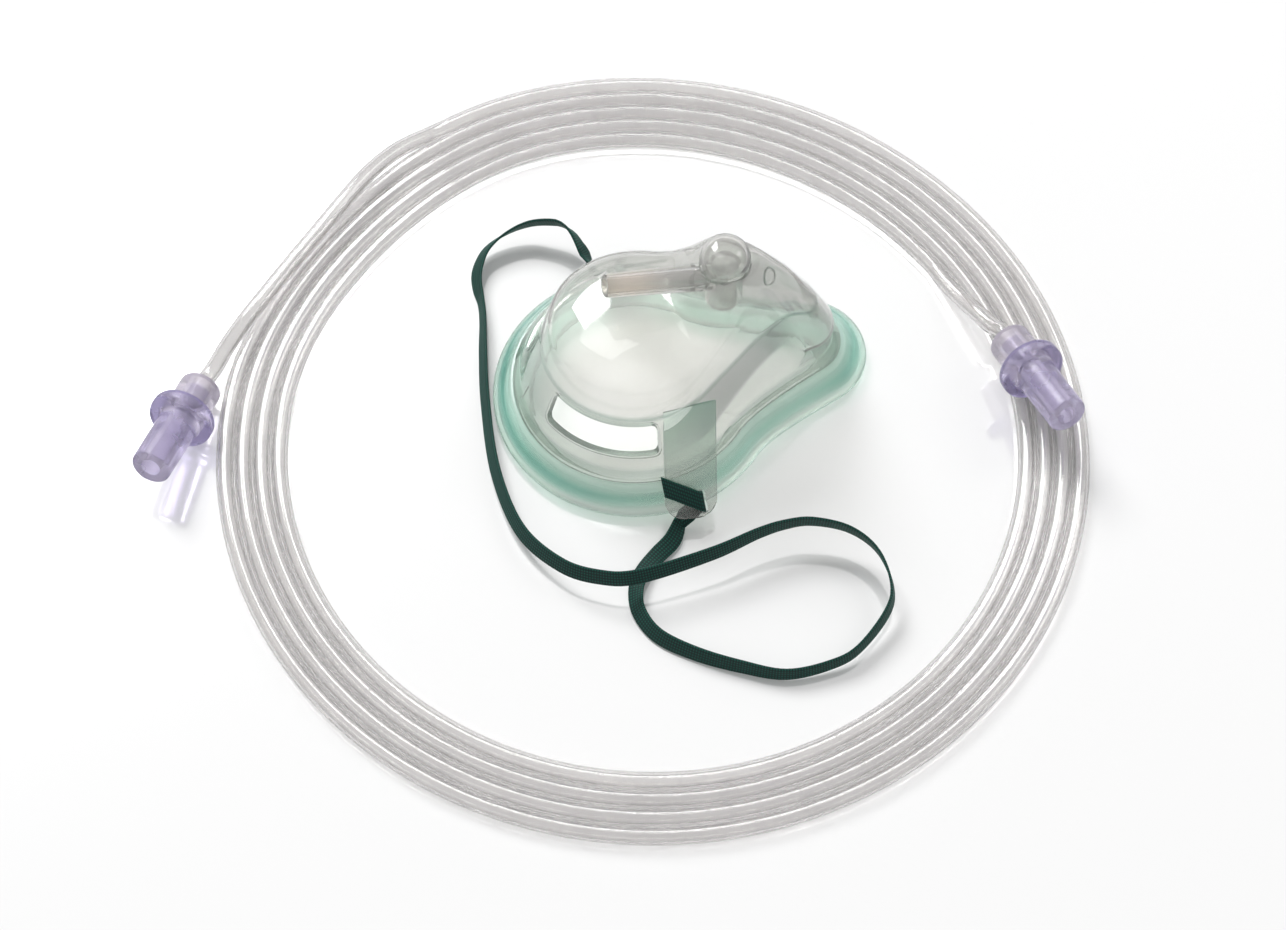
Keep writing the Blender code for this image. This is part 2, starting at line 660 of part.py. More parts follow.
def strap_stations():
    """Middle and half width of the ribbon from the far lug's tail to the near lug's tail."""
    far = strap_through_lug(1)
    near = strap_through_lug(-1)
    places = [Vector(row[:3]) * MM for row in STRAP_ROUTE]
    walk = [far[-1][0], *places, near[-1][0]]
    rows = [far[-1]]
    for i, row in enumerate(STRAP_ROUTE):
        along = (walk[i + 2] - walk[i]).normalized()
        rows.append((places[i], strap_half_width(along, radians(row[3]))))
    rows.append(near[-1])
    for end, inward in ((0, 1), (-1, -2)):
        middle, half = rows[end]
        if half.dot(rows[inward][1]) < 0:
            rows[end] = (middle, -half)
    sampled = curve_through([(*middle, *half) for middle, half in rows], 5 * MM)
    free = [(Vector(row[:3]), Vector(row[3:])) for row in sampled]
    far_sign = 1 if free[0][1].dot(far[-1][1]) > 0 else -1
    near_sign = 1 if free[-1][1].dot(near[-1][1]) > 0 else -1
    start = [(middle, half * far_sign) for middle, half in far[:-1]]
    end = [(middle, half * near_sign) for middle, half in reversed(near[:-1])]
    return start, free, end


def add_strap(bm):
    start, free, end = strap_stations()
    stations = start + free + end
    rings = []
    for i, (middle, half) in enumerate(stations):
        before = stations[max(i - 1, 0)][0]
        after = stations[min(i + 1, len(stations) - 1)][0]
        along = (after - before).normalized()
        if len(start) < i < len(start) + len(free) - 1:
            half = (half - along * half.dot(along)).normalized() * STRAP_W / 2
        thick = half.cross(along).normalized() * STRAP_T / 2
        left = middle - half
        right = middle + half
        corners = (left - thick, right - thick, right + thick, left + thick)
        rings.append([bm.verts.new(c) for c in corners])
    for a, b in zip(rings, rings[1:]):
        for i in range(4):
            j = (i + 1) % 4
            bm.faces.new([a[i], a[j], b[j], b[i]])
    bm.faces.new(rings[0])
    bm.faces.new(rings[-1])


def coil_point(angle, radius, height):
    """A point about the coil from an angle seen in the picture."""
    a = angle - PHOTO_TURN
    return Vector((COIL_X + radius * cos(a), COIL_Y + radius * sin(a), height))


def coil_dent(angle):
    away = (angle - COIL_DENT_ANGLE + pi) % (2 * pi) - pi
    return -COIL_DENT * max(0.0, cos(min(abs(away) / COIL_DENT_SPREAD, 1) * pi / 2)) ** 2


def coil_section(count, first_r):
    """Points of the coil's section: flat below, one rounded hump for each turn above."""
    r = TUBE_D / 2
    points = [(first_r, 0), (first_r - r * 0.7, r * 0.3), (first_r - r, r)]
    humps = (radians(135), radians(90), radians(45))
    for i in range(count):
        centre = first_r + i * TUBE_D
        points += [(centre + r * cos(a), r + r * sin(a)) for a in humps]
    last = first_r + (count - 1) * TUBE_D
    return points + [(last + r, r), (last + r * 0.7, r * 0.3), (last, 0)]


def add_coil(bm):
    """The turns as one ring. It is one turn wider from where the left end joins to where
    the right end leaves, and shifts in by one tube there, as a spiral does."""
    inner = COIL_R - (COIL_TURNS - 1) * TUBE_D / 2
    made = {}

    def vert(angle, radius, height):
        point = coil_point(angle, radius + coil_dent(angle), height)
        key = tuple(round(v / MM, 3) for v in point)
        if key not in made:
            made[key] = bm.verts.new(point)
        return made[key]

    def station(angle, count, first_r):
        return [vert(angle, r, z) for r, z in coil_section(count, first_r)]

    def bridge(a, b):
        for i in range(len(a)):
            j = (i + 1) % len(a)
            bm.faces.new([a[i], a[j], b[j], b[i]])

    wide_angle = LEAD_IN_ANGLE - LEAD_OUT_ANGLE
    wide_steps = ceil(wide_angle / COIL_STEP)
    wide = []
    for i in range(wide_steps + 1):
        share = i / wide_steps
        angle = LEAD_IN_ANGLE - wide_angle * share
        wide.append(station(angle, COIL_TURNS + 1, inner - TUBE_D * smooth_step(share, 0, 1)))
    rest_angle = 2 * pi - wide_angle
    rest_steps = ceil(rest_angle / COIL_STEP)
    rest = []
    for i in range(rest_steps + 1):
        angle = LEAD_OUT_ANGLE - rest_angle * i / rest_steps
        rest.append(station(angle, COIL_TURNS, inner))
    for run in (wide, rest):
        for a, b in zip(run, run[1:]):
            bridge(a, b)
    # Flat ends of the extra turn, where the loose ends of the tube butt
    bm.faces.new(step_face(wide[-1], rest[0]))
    bm.faces.new(step_face(wide[0], rest[-1]))


def step_face(wide, narrow):
    """The part of the wider section that lies outside the narrower one."""
    before, run, after = own_run(wide, narrow)
    other_before, back, _ = own_run(narrow, wide)
    if other_before == before:
        back.reverse()
    return [before, *run, after, *back]


def own_run(section, other):
    """The stretch of a closed section that the other lacks, between the two shared points."""
    count = len(section)
    own = [v not in other for v in section]
    start = next(i for i in range(count) if own[i] and not own[i - 1])
    run = [section[(start + k) % count] for k in range(sum(own))]
    return section[start - 1], run, section[(start + len(run)) % count]


def connector_place(polar, base):
    """Local Z from the socket end to the mouth, with the flange and the socket's rim on the base."""
    angle, radius, heading = polar
    rim_apart = FLANGE_AT - FLANGE_T / 2 + FLANGE_EDGE - SOCKET_ROUND
    tilt = atan2(FLANGE_R - SOCKET_R, rim_apart)
    head = heading - PHOTO_TURN
    direction = Vector((cos(head) * cos(tilt), sin(head) * cos(tilt), sin(tilt)))
    at = coil_point(angle, radius, base + SOCKET_R * cos(tilt) - SOCKET_ROUND * sin(tilt))
    turn = direction.to_track_quat("Z", "Y").to_matrix().to_4x4()
    return Matrix.Translation(at) @ turn, direction


def connector_profile():
    """Section of a connector from the tube's channel round the outside to the bored mouth."""
    half = FLANGE_T / 2
    soft = FLANGE_EDGE
    outside = [
        (TUBE_BORE_R, 0), (SOCKET_R - SOCKET_ROUND, 0), (SOCKET_R, SOCKET_ROUND),
        (SOCKET_R, FLANGE_AT - half - 1.4 * MM), (SOCKET_R + 0.9 * MM, FLANGE_AT - half),
        (FLANGE_R - soft, FLANGE_AT - half), (FLANGE_R, FLANGE_AT - half + soft),
        (FLANGE_R, FLANGE_AT + half - soft), (FLANGE_R - soft, FLANGE_AT + half),
        (BARREL_R + 0.9 * MM, FLANGE_AT + half), (BARREL_R, FLANGE_AT + half + 1.4 * MM),
        (MOUTH_R, CONNECTOR_L - 0.8 * MM), (MOUTH_R - 0.5 * MM, CONNECTOR_L),
    ]
    inside = [
        (MOUTH_BORE_R, CONNECTOR_L), (BORE_END_R, CONNECTOR_L - BORE_DEPTH),
        (TUBE_BORE_R, CONNECTOR_L - BORE_DEPTH),
    ]
    return outside + inside


def add_turned_ring(bm, profile, place):
    """A closed profile clear of the axis, turned about local Z."""
    rings = []
    for radius, height in profile:
        ring = []
        for i in range(TURN_SEGMENTS):
            a = 2 * pi * (i + 0.5) / TURN_SEGMENTS
            ring.append(bm.verts.new(place @ Vector((radius * cos(a), radius * sin(a), height))))
        rings.append(ring)
    for a, b in zip(rings, rings[1:] + rings[:1]):
        for i in range(TURN_SEGMENTS):
            j = (i + 1) % TURN_SEGMENTS
            bm.faces.new([a[i], a[j], b[j], b[i]])


def coil_end(angle, radius, sense):
    """Last two places of a loose end, in line with the turns that it butts on."""
    end = coil_point(angle, radius + coil_dent(angle), TUBE_D / 2)
    away = angle - PHOTO_TURN + sense * pi / 2
    return [end + Vector((cos(away), sin(away), 0)) * LEAD_STRAIGHT, end]


def make_lead(name, route, straight_in, straight_out, finish):
    points = curve_through(route, 2.2 * TUBE_D)
    points = [points[0], *straight_in, *points[1:-1], *straight_out, points[-1]]
    curve = bpy.data.curves.new(name, "CURVE")
    curve.dimensions = "3D"
    curve.bevel_depth = TUBE_D / 2
    curve.bevel_resolution = 2
    curve.use_fill_caps = True
    spline = curve.splines.new("POLY")
    spline.points.add(len(points) - 1)
    for point, at in zip(spline.points, points):
        point.co = (*at, 1)
    curve.materials.append(finish)
    obj = bpy.data.objects.new(name, curve)
    bpy.context.scene.collection.objects.link(obj)
    return obj


def make_tube(clear_tube, lilac):
    object_from("tube_coil", add_coil, clear_tube)
    inner = COIL_R - (COIL_TURNS - 1) * TUBE_D / 2
    top = TUBE_D + GAP

    left_at, left_dir = connector_place(LEFT_CONNECTOR, 0.1 * MM)
    right_at, right_dir = connector_place(RIGHT_CONNECTOR, top)
    for name, at in (("tube_connector_left", left_at), ("tube_connector_right", right_at)):
        object_from(name, lambda bm, at=at: add_turned_ring(bm, connector_profile(), at), lilac)

    def polar(row):
        angle, radius, height = row
        return coil_point(radians(angle), radius * MM, height * MM)

    joint_r = inner + COIL_TURNS * TUBE_D
    step = GAP / joint_r
    left = [left_at.translation - left_dir * (GAP + reach) for reach in (0, LEAD_STRAIGHT)]
    left += [polar(row) for row in LEFT_LEAD]
    left += coil_end(LEAD_IN_ANGLE + step, joint_r + GAP, 1)
    make_lead("tube_lead_left", left, left[1:2], left[-2:-1], clear_tube)

    joint_r = inner - TUBE_D
    step = GAP / joint_r
    right = coil_end(LEAD_OUT_ANGLE - step, joint_r - GAP, -1)[::-1]
    right += [polar(row) for row in RIGHT_LEAD]
    right += [right_at.translation - right_dir * (GAP + reach) for reach in (LEAD_STRAIGHT, 0)]
    make_lead("tube_lead_right", right, right[1:2], right[-2:-1], clear_tube)


def main():
    clear_scene()
    clear = material("clear_shell", (0.86, 0.88, 0.87), 0.12, transmission=0.9, alpha=0.45)
    green = material("green_seal", (0.36, 0.66, 0.58), 0.38, transmission=0.3)
    elastic = material("green_elastic", (0.01, 0.07, 0.05), 0.8)
    clear_tube = material("clear_tube", (0.86, 0.85, 0.84), 0.08, transmission=0.9, alpha=0.6)
    lilac = material("lilac_connector", (0.42, 0.38, 0.66), 0.2, transmission=0.5)
    make_mask_shell(clear)
    object_from("face_seal", add_seal, green)
    object_from("head_strap", add_strap, elastic)
    make_tube(clear_tube, lilac)


main()
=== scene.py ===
import json
from math import atan2, cos, hypot, pi, radians, sin, tan

import bmesh
import bpy
import numpy as np
from mathutils import Matrix, Vector

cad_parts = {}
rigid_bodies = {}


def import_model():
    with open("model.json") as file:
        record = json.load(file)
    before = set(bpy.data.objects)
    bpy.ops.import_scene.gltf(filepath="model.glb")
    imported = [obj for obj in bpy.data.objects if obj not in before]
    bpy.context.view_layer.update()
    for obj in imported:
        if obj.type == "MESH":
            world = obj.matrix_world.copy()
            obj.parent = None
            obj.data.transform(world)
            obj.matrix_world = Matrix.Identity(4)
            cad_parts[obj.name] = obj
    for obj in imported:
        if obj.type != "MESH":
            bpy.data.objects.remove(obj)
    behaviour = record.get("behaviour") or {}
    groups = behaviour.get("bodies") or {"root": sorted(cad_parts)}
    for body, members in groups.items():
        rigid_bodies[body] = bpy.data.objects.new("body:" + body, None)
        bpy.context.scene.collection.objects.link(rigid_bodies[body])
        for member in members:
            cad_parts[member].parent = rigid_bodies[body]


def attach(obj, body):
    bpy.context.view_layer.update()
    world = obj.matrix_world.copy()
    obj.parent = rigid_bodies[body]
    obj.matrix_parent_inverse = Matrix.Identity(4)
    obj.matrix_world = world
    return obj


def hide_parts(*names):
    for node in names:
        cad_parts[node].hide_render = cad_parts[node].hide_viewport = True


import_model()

for startupName in ("Cube", "Light", "Camera"):
    startupObject = bpy.data.objects.get(startupName)
    if startupObject:
        bpy.data.objects.remove(startupObject, do_unlink=True)
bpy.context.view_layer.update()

mm = 0.001
gap = 0.3 * mm             # what the solids leave between pieces that touch
photoTurn = radians(15)    # the mask's axis against the picture's horizontal
scene = bpy.context.scene
scene.view_settings.view_transform = "Standard"


# helpers that every piece uses

def objectFromMesh(name, mesh, finish):
    mesh.materials.append(finish)
    made = bpy.data.objects.new(name, mesh)
    scene.collection.objects.link(made)
    return made


def smoothStep(value, start, end):
    share = min(max((value - start) / (end - start), 0.0), 1.0)
    return share * share * (3 - 2 * share)


def between(ends, share):
    return ends[0] + (ends[1] - ends[0]) * share


def curveThrough(rows, spacing):
    # even rows on a Catmull-Rom curve; columns past the third are carried along
    rows = np.array(rows, float)
    ends = np.vstack([2 * rows[0] - rows[1], rows, 2 * rows[-1] - rows[-2]])
    fine = []
    for p0, p1, p2, p3 in zip(ends, ends[1:], ends[2:], ends[3:]):
        for t in np.arange(12) / 12:
            bend = (2 * p0 - 5 * p1 + 4 * p2 - p3) * t**2 + (3 * p1 - p0 - 3 * p2 + p3) * t**3
            fine.append((2 * p1 + (p2 - p0) * t + bend) / 2)
    fine = np.array([*fine, rows[-1]])
    walked = np.cumsum([0, *np.linalg.norm(np.diff(fine[:, :3], axis=0), axis=1)])
    wanted = np.linspace(0, walked[-1], max(2, round(walked[-1] / spacing)) + 1)
    return np.column_stack([np.interp(wanted, walked, column) for column in fine.T])


def meshFromRings(name, rings, closedAlong=False, capEnds=False, uvs=None):
    # rings: (count, points per ring, 3); neighbours are joined by quads
    rings = np.asarray(rings, float)
    count, around = rings.shape[:2]
    faces = []
    for i in range(count if closedAlong else count - 1):
        n = (i + 1) % count
        for k in range(around):
            m = (k + 1) % around
            faces.append((i * around + k, i * around + m, n * around + m, n * around + k))
    if capEnds:
        faces.append(tuple(range(around)))
        faces.append(tuple((count - 1) * around + k for k in reversed(range(around))))
    mesh = bpy.data.meshes.new(name)
    mesh.from_pydata(rings.reshape(-1, 3).tolist(), [], faces)
    if uvs is not None:
        flat = np.asarray(uvs, float).reshape(-1, 2)
        corner = np.zeros(len(mesh.loops), np.int32)
        mesh.loops.foreach_get("vertex_index", corner)
        layer = mesh.uv_layers.new(name="along")
        layer.data.foreach_set("uv", flat[corner].astype(np.float32).ravel())
    return mesh


def smoothOutward(mesh):
    bm = bmesh.new()
    bm.from_mesh(mesh)
    bmesh.ops.recalc_face_normals(bm, faces=bm.faces)
    bm.to_mesh(mesh)
    bm.free()
    mesh.shade_smooth()
    return mesh


def cornerCurve(before, corner, after, radius, steps, most=0.45):
    # the short curve in a corner's place; it takes at most this share of either side
    reach = min(radius, (before - corner).length * most, (after - corner).length * most)
    start = corner + (before - corner).normalized() * reach
    end = corner + (after - corner).normalized() * reach
    shares = [k / steps for k in range(steps + 1)]
    return [start * (1 - t) ** 2 + corner * 2 * t * (1 - t) + end * t * t for t in shares]


def roundedCorners(points, radii, steps=3):
    # a closed polygon of (a, b) pairs with each corner cut to a short curve of its own radius
    points = [Vector(p) for p in points]
    found = []
    for i, (corner, radius) in enumerate(zip(points, radii)):
        found += cornerCurve(points[i - 1], corner, points[(i + 1) % len(points)], radius, steps)
    return found


# camera, at the photograph's viewing angle

def makeCamera():
    view = {"place": (-107.3, -357.9, 607.6), "lookAt": (-17.31, -22.17, 0.0), "lens": 70.5}
    lens = bpy.data.cameras.new("camera")
    lens.lens = view["lens"]
    lens.sensor_width = 36
    lens.clip_start = 0.01
    lens.clip_end = 20
    camera = bpy.data.objects.new("camera", lens)
    scene.collection.objects.link(camera)
    camera.location = Vector(view["place"]) * mm
    away = Vector(view["place"]) - Vector(view["lookAt"])
    camera.rotation_mode = "QUATERNION"
    camera.rotation_quaternion = (-away).to_track_quat("-Z", "Y")
    scene.camera = camera


makeCamera()
print("camera placed")


# node groups and materials

def feed(tree, node, inputs):
    # each input takes a value or another node's output
    for socket, given in inputs.items():
        if isinstance(given, bpy.types.NodeSocket):
            tree.links.new(given, node.inputs[socket])
        else:
            node.inputs[socket].default_value = given
    return node


def addNode(tree, kind, inputs=None, **settings):
    node = tree.nodes.new(kind)
    for name, value in settings.items():
        setattr(node, name, value)
    return feed(tree, node, inputs or {})


def newMaterial(name):
    made = bpy.data.materials.new(name)
    made.use_nodes = True
    return made, made.node_tree


def makeGroup(name, inputs, outputs):
    # inputs are (name, number), outputs (name, socket type); returns the tree and its two end nodes
    tree = bpy.data.node_groups.new(name, "ShaderNodeTree")
    for socketName, value in inputs:
        socket = tree.interface.new_socket(name=socketName, in_out="INPUT", socket_type="NodeSocketFloat")
        socket.default_value = value
    for socketName, kind in outputs:
        tree.interface.new_socket(name=socketName, in_out="OUTPUT", socket_type=kind)
    return tree, tree.nodes.new("NodeGroupInput"), tree.nodes.new("NodeGroupOutput")


def noise(tree, vector, scale, detail=2.0, roughness=0.5):
    given = {"Vector": vector, "Scale": scale, "Detail": detail, "Roughness": roughness}
    return addNode(tree, "ShaderNodeTexNoise", given).outputs["Fac"]


def mapRange(tree, value, fromLow, fromHigh, toLow, toHigh):
    given = {"Value": value, "From Min": fromLow, "From Max": fromHigh, "To Min": toLow, "To Max": toHigh}
    return addNode(tree, "ShaderNodeMapRange", given).outputs["Result"]


def makeMouldedFinish():
    # slow waviness of a thin moulding, fine handling scuffs, and the roughness that goes with them
    cells = {"waves": 70.0, "scuffs": 900.0, "patches": 120.0}    # in a metre
    tree, given, out = makeGroup(
        "mouldedFinish",
        (
            ("Wave Height", 0.2), ("Scuff Height", 0.05),
            ("Clean Roughness", 0.08), ("Scuffed Roughness", 0.16),
        ),
        (("Roughness", "NodeSocketFloat"), ("Normal", "NodeSocketVector"), ("Mask", "NodeSocketFloat")),
    )
    waving, scuffing, clean, scuffed = [given.outputs[i] for i in range(4)]
    place = tree.nodes.new("ShaderNodeTexCoord").outputs["Object"]
    waves = addNode(tree, "ShaderNodeBump", {
        "Distance": 0.6 * mm, "Strength": waving, "Height": noise(tree, place, cells["waves"], 1.0),
    })
    scuffs = addNode(tree, "ShaderNodeBump", {
        "Distance": 0.1 * mm, "Strength": scuffing, "Height": noise(tree, place, cells["scuffs"], 3.0, 0.6),
        "Normal": waves.outputs["Normal"],
    })
    mask = mapRange(tree, noise(tree, place, cells["patches"]), 0.42, 0.68, 0.0, 1.0)
    rough = mapRange(tree, mask, 0.0, 1.0, clean, scuffed)
    feed(tree, out, {"Roughness": rough, "Normal": scuffs.outputs["Normal"], "Mask": mask})
    return tree


mouldedFinish = makeMouldedFinish()


def mixColour(tree, share, low, high, blend="MIX"):
    # low and high are colours or sockets
    low, high = ((*given, 1.0) if isinstance(given, tuple) else given for given in (low, high))
    given = {0: share, 6: low, 7: high}
    return addNode(tree, "ShaderNodeMix", given, data_type="RGBA", blend_type=blend).outputs[2]


def edgeShare(tree, blend, power):
    # 0 where a wall faces the eye and 1 where it turns edge on
    facing = addNode(tree, "ShaderNodeLayerWeight", {"Blend": blend}).outputs["Facing"]
    return addNode(tree, "ShaderNodeMath", {0: facing, 1: power}, operation="POWER").outputs["Value"]


def fromMap(tree, mapName, axis):
    # what the piece's own map of that name says
    place = addNode(tree, "ShaderNodeUVMap", uv_map=mapName).outputs["UV"]
    return addNode(tree, "ShaderNodeSeparateXYZ", {0: place}).outputs[axis]


def clearPlastic(name, look):
    # glass-like plastic: deeper colour edge on, partly the longer path through the wall and partly painted
    # shade for darker surroundings seen in a grazing wall; lamps reach through it as through the real wall
    made, tree = newMaterial(name)
    finish = addNode(tree, "ShaderNodeGroup", look["finish"], node_tree=mouldedFinish)
    face, edge = look["face"], look["edge"]
    if "deep" in look:
        # the tone changes along the section, which the piece's map counts from 0 to 1
        ramp = addNode(tree, "ShaderNodeValToRGB", {"Fac": fromMap(tree, "along", "X")})
        ramp.color_ramp.interpolation = "EASE"
        while len(ramp.color_ramp.elements) < len(look["deepAt"]):
            ramp.color_ramp.elements.new(0.5)
        for element, (position, amount) in zip(ramp.color_ramp.elements, look["deepAt"]):
            element.position = position
            element.color = (amount, amount, amount, 1)
        face = mixColour(tree, ramp.outputs["Color"], face, look["deep"])
        edge = mixColour(tree, ramp.outputs["Color"], edge, look["deepEdge"])
    face = mixColour(tree, finish.outputs["Mask"], face, look["cloud"], "MULTIPLY")
    # the edge colour is partly painted shade where the wall turns edge on
    colour = mixColour(tree, edgeShare(tree, look["edgeBlend"], look["edgePower"]), face, edge)
    for mapName, axis, tone in look.get("tones", ()):
        # painted shade along folds and edges, a painted reflection on the shell's grey strip, and places that
        # are tinted or thicker, which the piece's maps mark from 0 to 1
        colour = mixColour(tree, fromMap(tree, mapName, axis), colour, tone, "MULTIPLY")
    shader = feed(tree, tree.nodes["Principled BSDF"], {
        "Base Color": colour, "Roughness": finish.outputs["Roughness"], "Normal": finish.outputs["Normal"],
        "IOR": look["ior"], "Transmission Weight": look["transmission"],
        "Coat Weight": look["coat"], "Coat Roughness": 0.05,
    })
    passing = addNode(tree, "ShaderNodeBsdfTransparent", {"Color": (*look["shadow"], 1.0)})
    isShadow = tree.nodes.new("ShaderNodeLightPath").outputs["Is Shadow Ray"]
    mixed = addNode(tree, "ShaderNodeMixShader", {0: isShadow, 1: shader.outputs[0], 2: passing.outputs[0]})
    feed(tree, tree.nodes["Material Output"], {"Surface": mixed.outputs[0]})
    return made


clearShell = clearPlastic("clearShell", {
    "face": (0.84, 0.83, 0.81), "cloud": (0.975, 0.975, 0.97), "edge": (0.44, 0.465, 0.45),
    "shadow": (0.73, 0.73, 0.715),
    "tones": (
        # grey is a painted reflection on the strip and a plain grey elsewhere; the fold colour is painted
        # shade along folds and edges
        ("tone", "X", (0.64, 0.64, 0.65)), ("tone", "Y", (0.40, 0.52, 0.47)),
        ("tint", "X", (0.98, 0.93, 0.90)), ("tint", "Y", (0.72, 0.93, 0.84)),
    ),
    "edgeBlend": 0.5, "edgePower": 1.4, "ior": 1.33, "transmission": 0.86, "coat": 0.3,
    "finish": {
        "Wave Height": 0.20, "Scuff Height": 0.05, "Clean Roughness": 0.03, "Scuffed Roughness": 0.09,
    },
})
clearTube = clearPlastic("clearTube", {
    # the near-black edge colour is painted shade for the dark lines along the tube's sides
    "face": (0.81, 0.80, 0.795), "cloud": (0.975, 0.975, 0.975), "edge": (0.16, 0.15, 0.15),
    "shadow": (0.70, 0.70, 0.70),
    "edgeBlend": 0.5, "edgePower": 3.0, "ior": 1.40, "transmission": 0.92, "coat": 0.3,
    "finish": {
        "Wave Height": 0.03, "Scuff Height": 0.01, "Clean Roughness": 0.03, "Scuffed Roughness": 0.07,
    },
})
lilacPlastic = clearPlastic("lilacPlastic", {
    "face": (0.85, 0.81, 0.86), "cloud": (0.95, 0.95, 0.97), "edge": (0.38, 0.33, 0.44),
    "deep": (0.48, 0.43, 0.66), "deepEdge": (0.17, 0.13, 0.33),
    "deepAt": ((0.0, 0.0), (0.17, 0.1), (0.24, 1.0), (0.44, 0.9), (0.54, 0.6), (0.64, 0.45), (1.0, 0.2)),
    "shadow": (0.56, 0.57, 0.57),
    "edgeBlend": 0.4, "edgePower": 1.8, "ior": 1.31, "transmission": 0.74, "coat": 0.0,
    "finish": {
        "Wave Height": 0.10, "Scuff Height": 0.08, "Clean Roughness": 0.20, "Scuffed Roughness": 0.30,
    },
})
greenSeal = clearPlastic("greenSeal", {
    "face": (0.90, 0.915, 0.89), "cloud": (0.97, 0.985, 0.975), "edge": (0.46, 0.66, 0.59),
    "deep": (0.44, 0.70, 0.62), "deepEdge": (0.10, 0.38, 0.32),
    "deepAt": (
        (0.0, 0.35), (0.05, 0.6), (0.10, 1.0), (0.13, 0.85), (0.175, 0.1),
        (0.5, 0.0), (0.75, 0.0), (0.80, 0.15), (0.86, 0.2), (1.0, 0.5),
    ),
    "shadow": (0.68, 0.77, 0.73), "tones": (("along", "Y", (0.52, 0.75, 0.72)),),
    "edgeBlend": 0.5, "edgePower": 1.5, "ior": 1.36, "transmission": 0.7, "coat": 0.2,
    "finish": {
        "Wave Height": 0.08, "Scuff Height": 0.015, "Clean Roughness": 0.14, "Scuffed Roughness": 0.24,
    },
})


def makeWovenElastic():
    # warp ribs along the ribbon crossed by fine picks, from the ribbon's own lengthwise map; the raised
    # threads are painted in a lit colour and the hollows in painted shade
    look = {
        "ribs": 2200.0, "picks": 2600.0, "uneven": 0.4, "relief": 0.1 * mm,
        "weaveShade": (0.004, 0.019, 0.018), "lit": (0.008, 0.100, 0.070), "sheen": (0.10, 0.75, 0.55, 1.0),
    }
    made, tree = newMaterial("wovenElastic")
    place = tree.nodes.new("ShaderNodeUVMap").outputs["UV"]

    def bands(direction, count):
        given = {"Vector": place, "Scale": count / (2 * pi), "Distortion": look["uneven"], "Detail": 1.0}
        return addNode(tree, "ShaderNodeTexWave", given, bands_direction=direction).outputs["Fac"]

    crossed = {0: bands("X", look["ribs"]), 1: bands("Y", look["picks"])}
    woven = addNode(tree, "ShaderNodeMath", crossed, operation="MULTIPLY").outputs[0]
    bump = addNode(tree, "ShaderNodeBump", {"Strength": 0.6, "Distance": look["relief"], "Height": woven})
    feed(tree, tree.nodes["Principled BSDF"], {
        # painted light: a lit colour on the raised threads, painted shade in the hollows
        "Base Color": mixColour(tree, woven, look["weaveShade"], look["lit"]), "Normal": bump.outputs["Normal"],
        "Roughness": 0.62, "Specular IOR Level": 0.25,
        "Sheen Weight": 0.10, "Sheen Roughness": 0.35, "Sheen Tint": look["sheen"],
    })
    return made


wovenElastic = makeWovenElastic()
print("materials made")


# supply tube: four turns and a bit, with a loose end to each connector

tube = {
    "diameter": 5.0 * mm, "bore": 1.6 * mm, "centre": (-12.5 * mm, -14.8 * mm), "middleRadius": 111.4 * mm,
    "turns": 4, "joinsAt": radians(120), "leavesAt": radians(38), "inSocket": 11.5 * mm,
    "dent": 2.0 * mm, "dentAt": radians(142), "dentSpread": radians(34), "straight": 5.0 * mm,
    "step": radians(1.2), "around": 28, "spacing": 2.4 * mm, "slack": 0.02 * mm,
}
# loose ends: degrees round the coil, mm from its middle, mm up; left to the coil, right from it
leftLead = (
    (170.6, 125.4, 4.6), (166.6, 122.9, 6.1), (162.6, 120.2, 7.8), (158, 118.2, 8.0),
    (152.5, 116.9, 8.0), (146, 116.6, 8.0), (140, 117.8, 7.9), (134, 120.3, 7.0), (128, 122.8, 4.7),
)
rightLead = ((31, 98.4, 3.3), (26, 98.6, 5.6), (21.5, 99.5, 8.0), (18, 100.9, 9.7))
connector = {
    "length": 34.0 * mm, "socketRadius": 6.0 * mm, "socketRound": 1.2 * mm, "flangeAt": 13.2 * mm,
    "flangeRadius": 9.2 * mm, "flangeThick": 3.8 * mm, "flangeEdge": 1.1 * mm, "barrelRadius": 5.7 * mm,
    "mouthRadius": 5.5 * mm, "mouthBore": 2.7 * mm, "boreEnd": 2.3 * mm, "boreDepth": 21.0 * mm,
    "socketClear": 0.05 * mm, "socketDeeper": 0.5 * mm, "fillet": 0.5 * mm, "mouthRound": 0.6 * mm,
    "boreRound": 0.35 * mm, "holeRound": 0.3 * mm, "innerRound": 0.25 * mm, "around": 72,
    # angle and radius of the socket's end round the coil, heading, and height of the lowest point
    "left": (radians(173.9), 127.3 * mm, radians(-107.1), 0.1 * mm),
    "right": (radians(14.5), 103.3 * mm, radians(-67.2), 5.3 * mm),
}


def coilPoint(angle, radius, height):
    a = angle - photoTurn
    return Vector((tube["centre"][0] + radius * cos(a), tube["centre"][1] + radius * sin(a), height))


def coilDent(angle):
    away = (angle - tube["dentAt"] + pi) % (2 * pi) - pi
    return -tube["dent"] * max(0.0, cos(min(abs(away) / tube["dentSpread"], 1) * pi / 2)) ** 2


def connectorPlace(side):
    # local Z runs from the socket's end to the mouth; flange and socket rim both rest on the base
    angle, radius, heading, base = connector[side]
    flangeFrom = connector["flangeAt"] - connector["flangeThick"] / 2 + connector["flangeEdge"]
    tilt = atan2(connector["flangeRadius"] - connector["socketRadius"], flangeFrom - connector["socketRound"])
    head = heading - photoTurn
    direction = Vector((cos(head) * cos(tilt), sin(head) * cos(tilt), sin(tilt)))
    height = base + connector["socketRadius"] * cos(tilt) - connector["socketRound"] * sin(tilt)
    turn = direction.to_track_quat("Z", "Y").to_matrix().to_4x4()
    return Matrix.Translation(coilPoint(angle, radius, height)) @ turn, direction


